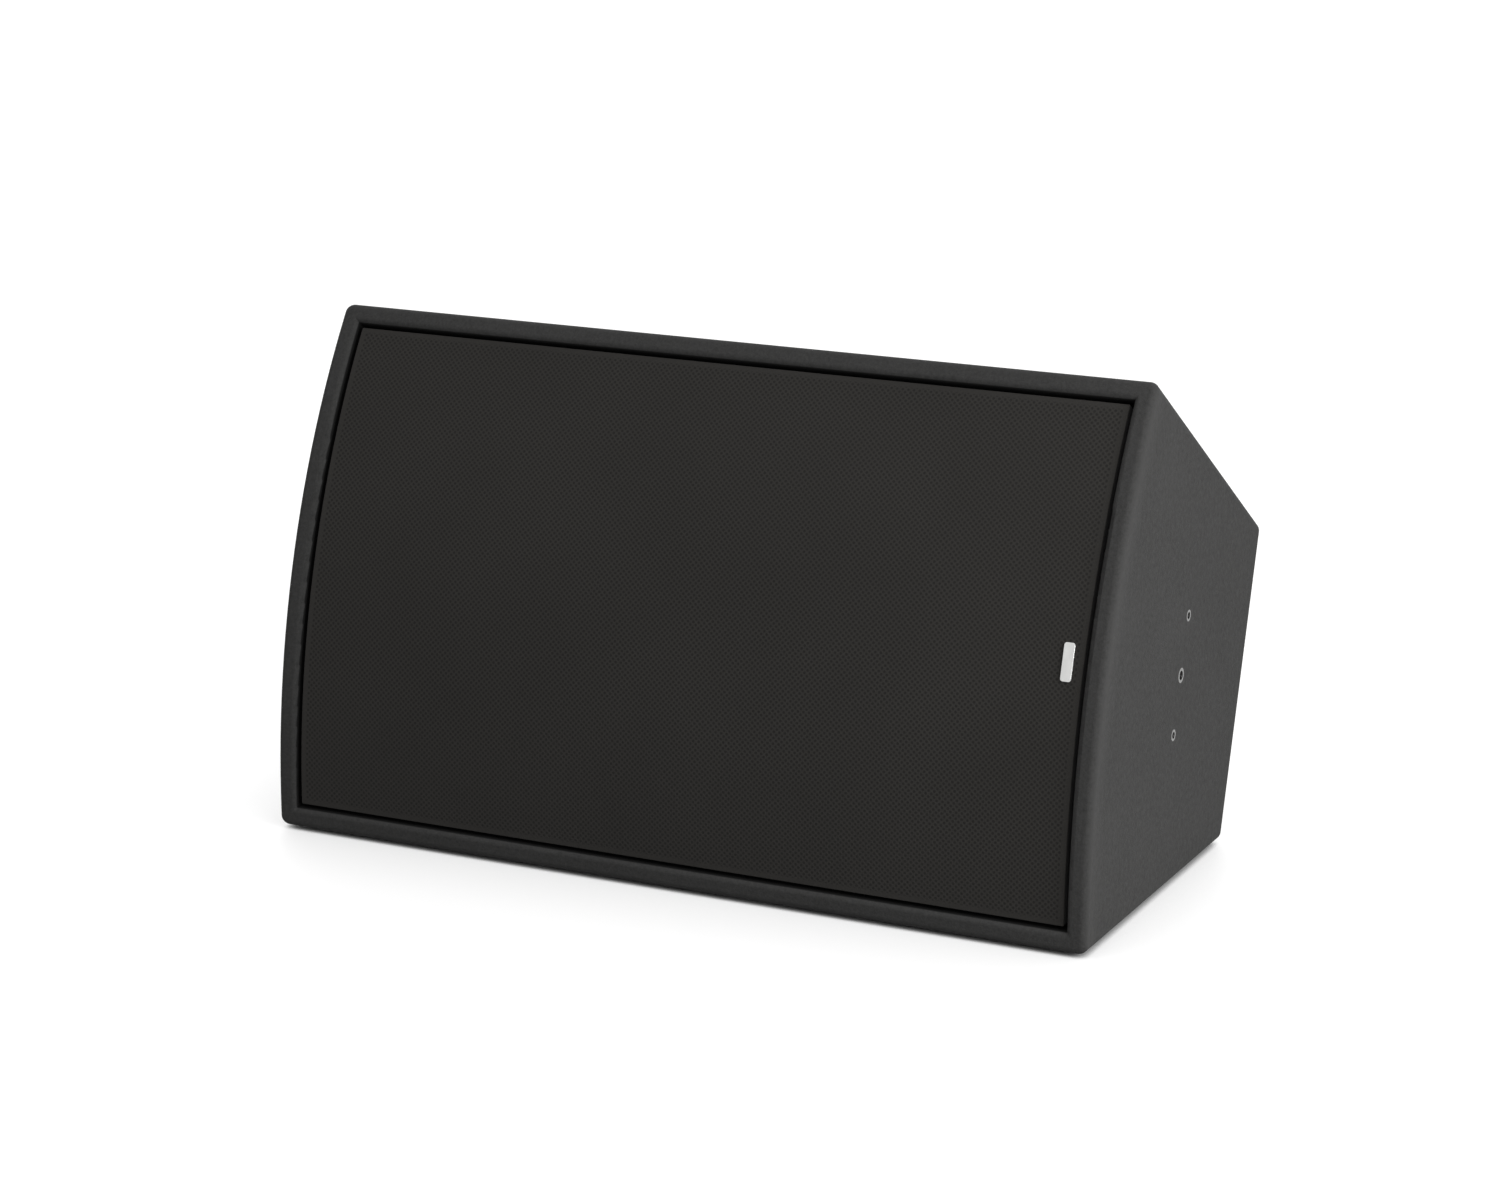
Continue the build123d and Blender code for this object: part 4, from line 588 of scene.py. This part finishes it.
PAINT = (0.0395, 0.0392, 0.0387)
finishes = {
    "cabinet_paint": textured_paint("textured_paint", PAINT),
    "plywood": birch("birch_plywood"),
    "cloth": acoustic_cloth("acoustic_cloth", (0.0305, 0.0290, 0.0270)),
    "black_steel": perforated("perforated_steel", (0.02, 0.02, 0.02)),
    "rubber": rubbery("foot_rubber", (0.02, 0.02, 0.02)),
    "foam": foamed("open_cell_foam", (0.05, 0.05, 0.055)),
    "zinc": plated("zinc_plate", (0.62, 0.62, 0.6)),
    "black_screw": plated("black_oxide", (0.045, 0.045, 0.047), (0.3, 0.45), 0.7),
    "nickel": plated("nickel_plate", (0.7, 0.7, 0.68), (0.14, 0.24), 0.88),
    "badge": brushed_plate("satin_plate", (0.6, 0.6, 0.59)),
    "basket": powder_coat("cast_basket_paint", (0.03, 0.03, 0.03), (0.46, 0.6)),
    "ferrite": sintered("ferrite", (0.09, 0.09, 0.1)),
    "motor_steel": turned_steel("turned_steel", (0.5, 0.5, 0.48)),
    "paper_cone": pulp("pressed_paper", (0.035, 0.034, 0.033)),
    "coil_former": film("amber_film", (0.55, 0.33, 0.12)),
    "copper": wound_wire("wound_copper"),
    "suspension": woven("coated_cotton", (0.05, 0.048, 0.045), 0.9 * MM),
    "spider_cloth": woven("impregnated_cotton", (0.5, 0.36, 0.17), 0.8 * MM),
    "horn_plastic": moulded("horn_moulding", (0.025, 0.025, 0.025), (0.42, 0.58)),
    "port_plastic": moulded("port_moulding", (0.022, 0.022, 0.022)),
    "diaphragm": plated("foil", (0.7, 0.71, 0.73), (0.22, 0.34), 0.9),
    "connector_plate": powder_coat("plate_powder_coat", (0.02, 0.02, 0.02)),
    "socket_plastic": moulded("socket_moulding", (0.02, 0.02, 0.022), (0.26, 0.4)),
    "circuit_board": board("solder_mask"),
    "capacitor": film("yellow_film_wrap", (0.55, 0.4, 0.08)),
    "resistor": cement("white_cement"),
    "terminal_plastic": moulded("terminal_moulding", (0.1, 0.2, 0.12), (0.34, 0.48), 1400.0),
    "lead_sheath": rubbery("lead_sheath", (0.02, 0.02, 0.02), (0.45, 0.6)),
}
threads = threaded("threaded_insert", (0.2, 0.2, 0.196))
for node in nodes.values():
    for index, old in enumerate(node.data.materials):
        node.data.materials[index] = finishes[old.name.split(".")[0]].material
for name in ("m8_inserts", "m6_inserts"):
    nodes[name].data.materials[0] = threads.material


# ---------------------------------------------------------------- making pieces
def piece(name, vertices, faces, finish, smooth=True, uv=None):
    """A mesh object of one finish, with a UV place for each vertex if they are given."""
    mesh = bpy.data.meshes.new(name)
    mesh.from_pydata([tuple(v) for v in vertices], [], faces)
    mesh.validate()
    if uv is not None:
        layer = mesh.uv_layers.new(name="UVMap")
        flat = np.array([uv[loop.vertex_index] for loop in mesh.loops], float)
        layer.data.foreach_set("uv", flat.ravel())
    if smooth:
        mesh.polygons.foreach_set("use_smooth", [True] * len(mesh.polygons))
    mesh.update()
    made = bpy.data.objects.new(name, mesh)
    bpy.context.scene.collection.objects.link(made)
    mesh.materials.append(finish.material)
    return made


def sharpen(obj, angle):
    """Marks edges over the angle as sharp, so that smooth shading keeps them."""
    mesh = bmesh.new()
    mesh.from_mesh(obj.data)
    limit = math.radians(angle)
    for edge in mesh.edges:
        if len(edge.link_faces) == 2 and edge.calc_face_angle(0.0) > limit:
            edge.smooth = False
    mesh.to_mesh(obj.data)
    mesh.free()


def islands(node):
    """Each separate solid of a CAD node, as an array of its points."""
    mesh = bmesh.new()
    mesh.from_mesh(nodes[node].data)
    bmesh.ops.remove_doubles(mesh, verts=mesh.verts, dist=1e-6)
    seen, found = set(), []
    for start in mesh.verts:
        if start.index in seen:
            continue
        stack, group = [start], []
        seen.add(start.index)
        while stack:
            vertex = stack.pop()
            group.append(tuple(vertex.co))
            for edge in vertex.link_edges:
                other = edge.other_vert(vertex)
                if other.index not in seen:
                    seen.add(other.index)
                    stack.append(other)
        found.append(np.array(group))
    mesh.free()
    return found


def rim_of(across, up):
    """The outer points of a grid of so many cells, once round."""
    return (
        [(i, 0) for i in range(across)]
        + [(across, j) for j in range(up)]
        + [(i, up) for i in range(across, 0, -1)]
        + [(0, j) for j in range(up, 0, -1)]
    )


# ---------------------------------------------------------------- cloth over the grille
COARSE_STEP = 6 * MM
FINE_STEPS = 4
ROLL_ANGLES = (18, 36, 54, 72, 90)
SIDE_SHARES = (0.12, 0.3, 0.5, 0.7, 0.88, 1.0)


def steps(inner, outer):
    """Places on both sides of the middle: coarse steps, then fine ones inside the corner's round."""
    count = max(2, round(inner / COARSE_STEP))
    half = [inner * i / count for i in range(count + 1)]
    half += [inner + (outer - inner) * (i + 1) / FINE_STEPS for i in range(FINE_STEPS)]
    return [-step for step in reversed(half[1:])] + half


def cloth_piece():
    """A sheet pulled over the tray: its bowed face, rounded edges and sides."""
    half_x, half_y = CLOTH_HALF - SKIN - EDGE_ROUND, EDGE_UP - SKIN - EDGE_ROUND
    inner_x, inner_y = half_x - CORNER, half_y - CORNER
    xs, ys = steps(inner_x, half_x), steps(inner_y, half_y)
    vertices, uvs, grid = [], [], {}
    for j, y in enumerate(ys):
        for i, x in enumerate(xs):
            px, py = x, y
            a, b = (abs(x) - inner_x) / CORNER, (abs(y) - inner_y) / CORNER
            if a > 0 and b > 0:
                px = math.copysign(inner_x + CORNER * a * math.sqrt(1 - b * b / 2), x)
                py = math.copysign(inner_y + CORNER * b * math.sqrt(1 - a * a / 2), y)
            grid[i, j] = len(vertices)
            vertices.append(place(px, py, front_depth(py) + SKIN))
            uvs.append((px, CLOTH_RADIUS * math.asin(py / CLOTH_RADIUS)))
    faces = [
        (grid[i, j], grid[i + 1, j], grid[i + 1, j + 1], grid[i, j + 1])
        for j in range(len(ys) - 1)
        for i in range(len(xs) - 1)
    ]
    ring = [grid[key] for key in rim_of(len(xs) - 1, len(ys) - 1)]
    # Each point of the rim, with the direction in which the cloth leaves the face there.
    rim = []
    for vertex in ring:
        x, v = uvs[vertex]
        up = CLOTH_RADIUS * math.sin(v / CLOTH_RADIUS)
        dx, dy = abs(x) - inner_x, abs(up) - inner_y
        if dx > 0 and dy > 0:
            size = math.hypot(dx, dy)
            way = (math.copysign(dx / size, x), math.copysign(dy / size, up))
        elif abs(x) >= half_x - 1e-9:
            way = (math.copysign(1.0, x), 0.0)
        else:
            way = (0.0, math.copysign(1.0, up))
        rim.append((x, up, way))
    # The cloth rolls over the edge, then runs straight back along the tapering side.
    turns = [math.radians(angle) for angle in ROLL_ANGLES]
    roll = [(EDGE_ROUND * math.sin(turn), EDGE_ROUND * (1 - math.cos(turn))) for turn in turns]
    rear = TRAY_REAR - 0.1 * MM
    shrink = (inner_up(rear, GAP) - SKIN) / (EDGE_UP - SKIN)
    rings = [(out, back, 0.0) for out, back in roll] + [(*roll[-1], share) for share in SIDE_SHARES]
    for out, back, share in rings:
        new = []
        for x, up, way in rim:
            py = up + way[1] * out
            depth = front_depth(up) + SKIN + back
            side = share * (rear - depth)
            far = out + back + side
            new.append(len(vertices))
            vertices.append(place(x + way[0] * out, py + (py * shrink - py) * share, depth + side))
            uvs.append((x + way[0] * far, CLOTH_RADIUS * math.asin(up / CLOTH_RADIUS) + way[1] * far))
        count = len(ring)
        faces += [(ring[k], new[k], new[(k + 1) % count], ring[(k + 1) % count]) for k in range(count)]
        ring = new
    made = piece("grille_cover", vertices, faces, finishes["cloth"], uv=uvs)
    thick = made.modifiers.new("thickness", "SOLIDIFY")
    thick.thickness = 0.5 * MM
    thick.offset = -1.0
    return made


cover = cloth_piece()
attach(cover, "grille")
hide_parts("grille_cloth")


# ---------------------------------------------------------------- screws with a drive recess
SCREW_SIDES = 48


def drive_reach(drive, head, angle):
    """How far a drive recess reaches from the screw's axis at an angle: a cross, or a hexagon for a key."""
    if drive == "cross":
        near = (angle + math.pi / 4) % (math.pi / 2) - math.pi / 4
        return min(0.58 * head, 0.13 * head / max(abs(math.sin(near)), 1e-6))
    near = (angle + math.pi / 6) % (math.pi / 3) - math.pi / 6
    return 0.46 * head / math.cos(near)


def screw_rings(local, drive, dome):
    """A screw's middle, and its rings from the tip to the recess's floor: each one's (radius, angle) and level."""
    top, bottom = local[:, 2].max(), local[:, 2].min()
    middle = (local[:, :2].max(0) + local[:, :2].min(0)) / 2
    reach = np.hypot(*(local[:, :2] - middle).T)
    head = reach.max()
    below = local[reach > head * 0.97][:, 2].min()
    shank = reach[local[:, 2] < below - 1e-4].max()
    height = top - below
    outside = [
        (0.0, bottom),
        (shank * 0.5, bottom),
        (shank, bottom + shank * 0.7),
        (shank, below),
        (head * 0.96, below),
        (head, below + height * 0.12),
        (head, top - height * (0.25 + dome * 0.5)),
        (head * 0.93, top - height * dome * 0.45),
        (head * 0.78, top - height * dome * 0.12),
    ]
    recess = [(1.06, 0.02), (1.0, 0.05), (0.86, 0.72), (0.0, 0.8)]
    angles = [2 * math.pi * k / SCREW_SIDES for k in range(SCREW_SIDES)]
    edge = [drive_reach(drive, head, angle) for angle in angles]
    rings = [([radius] * SCREW_SIDES, level) for radius, level in outside]
    rings += [([share * radius for radius in edge], top - height * sunk) for share, sunk in recess]
    # A ring of no width is the one point on the axis.
    axis_point = [(0.0, 0.0)]
    return middle, [(list(zip(radii, angles)) if radii[0] > 0 else axis_point, level) for radii, level in rings]


def screw_set(name, node, axis, body, finish, drive="cross", dome=0.35):
    """Rebuilds each plain screw of a CAD node with a domed head and a drive recess, on the same axis and
    inside the same space."""
    axis = Vector(axis).normalized()
    side = axis.orthogonal().normalized()
    basis = np.array([side, axis.cross(side), axis])
    vertices, faces = [], []
    for number, points in enumerate(islands(node)):
        middle, rings = screw_rings(points @ basis.T, drive, dome)
        turn = 0.7 * number
        previous = None
        for circle, level in rings:
            ring = []
            for radius, angle in circle:
                spot = middle + radius * np.array([math.cos(angle + turn), math.sin(angle + turn)])
                ring.append(len(vertices))
                vertices.append(tuple(spot[0] * basis[0] + spot[1] * basis[1] + level * basis[2]))
            if previous is not None:
                for k in range(SCREW_SIDES):
                    a, b = previous[k % len(previous)], previous[(k + 1) % len(previous)]
                    c, d = ring[(k + 1) % len(ring)], ring[k % len(ring)]
                    faces.append(tuple(dict.fromkeys((a, b, c, d))))
            previous = ring
    made = piece(name, vertices, faces, finish)
    sharpen(made, 40)
    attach(made, body)
    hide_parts(node)


black = finishes["black_screw"]
screw_set("plate_fixings", "plate_screws", REARWARD, "cabinet", black)
screw_set("socket_fixings", "socket_screws", REARWARD, "cabinet", black)
screw_set("woofer_fixings", "woofer_screws", OUTWARD, "cabinet", black, "hex", 0.5)
screw_set("horn_fixings", "horn_screws", OUTWARD, "cabinet", black)
screw_set("board_fixings", "board_screws", (0, 0, 1), "cabinet", finishes["zinc"])


# ---------------------------------------------------------------- foam
CRATE_WAVE = 30 * MM
CRATE_STEP = 5 * MM
CRATE_DEPTH = 9 * MM
SLAB_INSET = 0.6 * MM


def foam_slabs():
    """Slabs cut in an egg-crate pattern, their peaks towards the air of the cabinet."""
    vertices, faces = [], []
    inside = place(0, 0, 130 * MM)
    for points in islands("acoustic_foam"):
        centre = points.mean(0)
        # The slab's thin direction is the one of least spread; the other two lie along X and across it.
        thin = Vector(np.linalg.svd(points - centre, full_matrices=False)[2][2]).normalized()
        if (inside - Vector(centre)).dot(thin) < 0:
            thin = -thin
        along = Vector((1, 0, 0))
        basis = np.array([along, thin.cross(along).normalized(), thin])
        local = points @ basis.T
        low, high = local.min(0) + SLAB_INSET, local.max(0) - SLAB_INSET
        nx, ny = (max(8, round((high[k] - low[k]) / CRATE_STEP)) for k in (0, 1))
        offset = len(vertices)
        for top in (True, False):
            for j in range(ny + 1):
                for i in range(nx + 1):
                    x = low[0] + (high[0] - low[0]) * i / nx
                    y = low[1] + (high[1] - low[1]) * j / ny
                    on_rim = min(i, nx - i, j, ny - j) == 0
                    z = low[2]
                    if top:
                        wave = math.sin(2 * math.pi * x / CRATE_WAVE) + math.sin(2 * math.pi * y / CRATE_WAVE)
                        z = high[2] - CRATE_DEPTH * (0.5 - 0.25 * wave) - (1.2 * MM if on_rim else 0.0)
                    if on_rim:
                        x += 0.4 * MM * (1 if i == 0 else -1 if i == nx else 0)
                    vertices.append(tuple(np.array([x, y, z]) @ basis))
        width = nx + 1
        size = width * (ny + 1)
        for j in range(ny):
            for i in range(nx):
                a = offset + j * width + i
                faces.append((a, a + 1, a + 1 + width, a + width))
                b = a + size
                faces.append((b + width, b + width + 1, b + 1, b))
        rim = [offset + j * width + i for i, j in rim_of(nx, ny)]
        faces += [(a, size + a, size + b, b) for a, b in zip(rim, rim[1:] + rim[:1])]
    made = piece("foam_slabs", vertices, faces, finishes["foam"])
    sharpen(made, 60)
    return made


slabs = foam_slabs()
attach(slabs, "cabinet")
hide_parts("acoustic_foam")


SEAL_WIDTH = 7.8 * MM
SEAL_HEIGHT = 2.6 * MM
SEAL_SIDE_STEPS = 24
SEAL_CROWN = [(0.0, 0.0), (0.0, 0.55), (0.06, 0.82), (0.18, 0.96), (0.35, 1.0)]


def seal_strip():
    """Foam strip round the baffle, its section crowned and its corners mitred."""
    half_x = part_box("grille_seal")[1].x - 0.1 * MM
    half_y = inner_up(BAFFLE_RECESS) - GAP / 2 - 0.1 * MM
    section = SEAL_CROWN + [(1.0 - share, rise) for share, rise in reversed(SEAL_CROWN)]
    corners = [(-1, -1), (1, -1), (1, 1), (-1, 1)]
    path = []
    for k, (sx, sy) in enumerate(corners):
        ex, ey = corners[(k + 1) % 4]
        for step in range(SEAL_SIDE_STEPS):
            t = step / SEAL_SIDE_STEPS
            path.append((sx + (ex - sx) * t, sy + (ey - sy) * t))
    vertices, faces = [], []
    for index, (sx, sy) in enumerate(path):
        # The strip swells and thins a little along its way, but never above its height.
        swell = min(1.0, 0.97 * (1.0 + 0.03 * math.sin(index * 1.7)))
        for share, rise in section:
            x = sx * (half_x - SEAL_WIDTH * share)
            y = sy * (half_y - SEAL_WIDTH * share)
            vertices.append(place(x, y, BAFFLE_RECESS - SKIN - SEAL_HEIGHT * rise * swell))
    size = len(section)
    for k in range(len(path)):
        a, b = k * size, ((k + 1) % len(path)) * size
        for m in range(size):
            n = (m + 1) % size
            faces.append((a + m, a + n, b + n, b + m))
    made = piece("seal_strip", vertices, faces, finishes["foam"])
    sharpen(made, 50)
    return made


seal = seal_strip()
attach(seal, "cabinet")
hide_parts("grille_seal")


# ---------------------------------------------------------------- floor
FLOOR_SHADE = 0.2
SEEN_SHADE = 0.38
FLOOR_HALF = 60.0


def floor_material():
    """A floor that is dim as a light from below and pale where it is seen; its glow fades beside the cabinet as a
    painted shadow.
    """
    f = Finish("pale_floor", (FLOOR_SHADE,) * 3, Specular_IOR_Level=0.12)
    seen = f.seen()
    f.color(f.mix(seen, (FLOOR_SHADE,) * 3, (SEEN_SHADE,) * 3))
    f.rough(f.span(f.noise(f.here(), 3.0, 2.0), 0.3, 0.7, 0.48, 0.56))
    near = f.add("AmbientOcclusion", samples=8)
    near.inputs["Distance"].default_value = 0.16
    # Painted shadow: ambient occlusion dims the glow, in a tight contact band and a wide soft band beside the
    # cabinet.
    painted_contact_shadow = f.span(near.outputs["AO"], 0.2, 0.46, 0.0, 0.5)
    wide = f.span(near.outputs["AO"], 0.4, 0.86, 0.0, 0.18)
    glow = f.add("Emission")
    glow.inputs["Color"].default_value = (1, 1, 1, 1)
    f.feed(glow.inputs["Strength"], f.math("MULTIPLY", seen, f.math("ADD", painted_contact_shadow, wide)))
    both = f.add("AddShader")
    f.feed(both.inputs[0], f.shader.outputs[0])
    f.feed(both.inputs[1], glow.outputs[0])
    f.feed(f.tree.nodes["Material Output"].inputs["Surface"], both.outputs[0])
    return f


corners = [(x * FLOOR_HALF, y * FLOOR_HALF, 0) for x, y in ((-1, -1), (1, -1), (1, 1), (-1, 1))]
floor = piece("floor", corners, [(0, 1, 2, 3)], floor_material(), smooth=False)

# ---------------------------------------------------------------- light
world = bpy.data.worlds.new("studio")
bpy.context.scene.world = world
world.use_nodes = True
background = world.node_tree.nodes["Background"]
background.inputs["Color"].default_value = (1, 1, 1, 1)
# The surroundings are white where they are seen. As a light they are stronger from above and from the right.
sky = Nodes(world.node_tree)
facing = sky.split(sky.add("TexCoord").outputs["Generated"])
lean = sky.math("MULTIPLY_ADD", facing["X"], 0.35, facing["Z"])
light = sky.span(lean, -0.2, 1.0, 0.1, 0.75)
sky.feed(background.inputs["Strength"], sky.span(sky.seen(), 0.0, 1.0, light, 1.0))


def lamp(name, kind, towards, strength, **settings):
    """A lamp that shines along a direction."""
    data = bpy.data.lights.new(name, kind)
    data.energy = strength
    for key, value in settings.items():
        setattr(data, key, value)
    holder = bpy.data.objects.new(name, data)
    bpy.context.scene.collection.objects.link(holder)
    holder.rotation_euler = Vector(towards).to_track_quat("-Z", "Y").to_euler()
    return holder


# A soft box beside the right end, and two wide suns: one from the front left, one from the rear.
SIDE_AT, SIDE_AIM = Vector((1.38, -0.48, 0.55)), Vector((0.3, 0.0, 0.18))
side_light = lamp("side_light", "AREA", SIDE_AIM - SIDE_AT, 14.5, shape="SQUARE", size=0.6)
side_light.location = SIDE_AT
side_light.visible_camera = False
lamp("top_light", "SUN", (-0.2, 0.55, -0.81), 0.85, angle=math.radians(80))
lamp("rear_fill", "SUN", (0.25, -0.75, -0.6), 0.8, angle=math.radians(60))

# ---------------------------------------------------------------- camera
CAMERA_AT = (1.21765, -2.52399, 0.93857)
LOOKS_DOWN = 15.252
LOOKS_LEFT = 26.026
camera_data = bpy.data.cameras.new("camera")
camera_data.lens = 93.52
camera_data.sensor_width = 36.0
camera_data.sensor_fit = "HORIZONTAL"
camera = bpy.data.objects.new("camera", camera_data)
bpy.context.scene.collection.objects.link(camera)
camera.location = CAMERA_AT
camera.rotation_euler = Euler((math.radians(90 - LOOKS_DOWN), 0, math.radians(LOOKS_LEFT)), "XYZ")
bpy.context.scene.camera = camera
bpy.context.scene.view_settings.view_transform = "Standard"

bpy.context.view_layer.update()
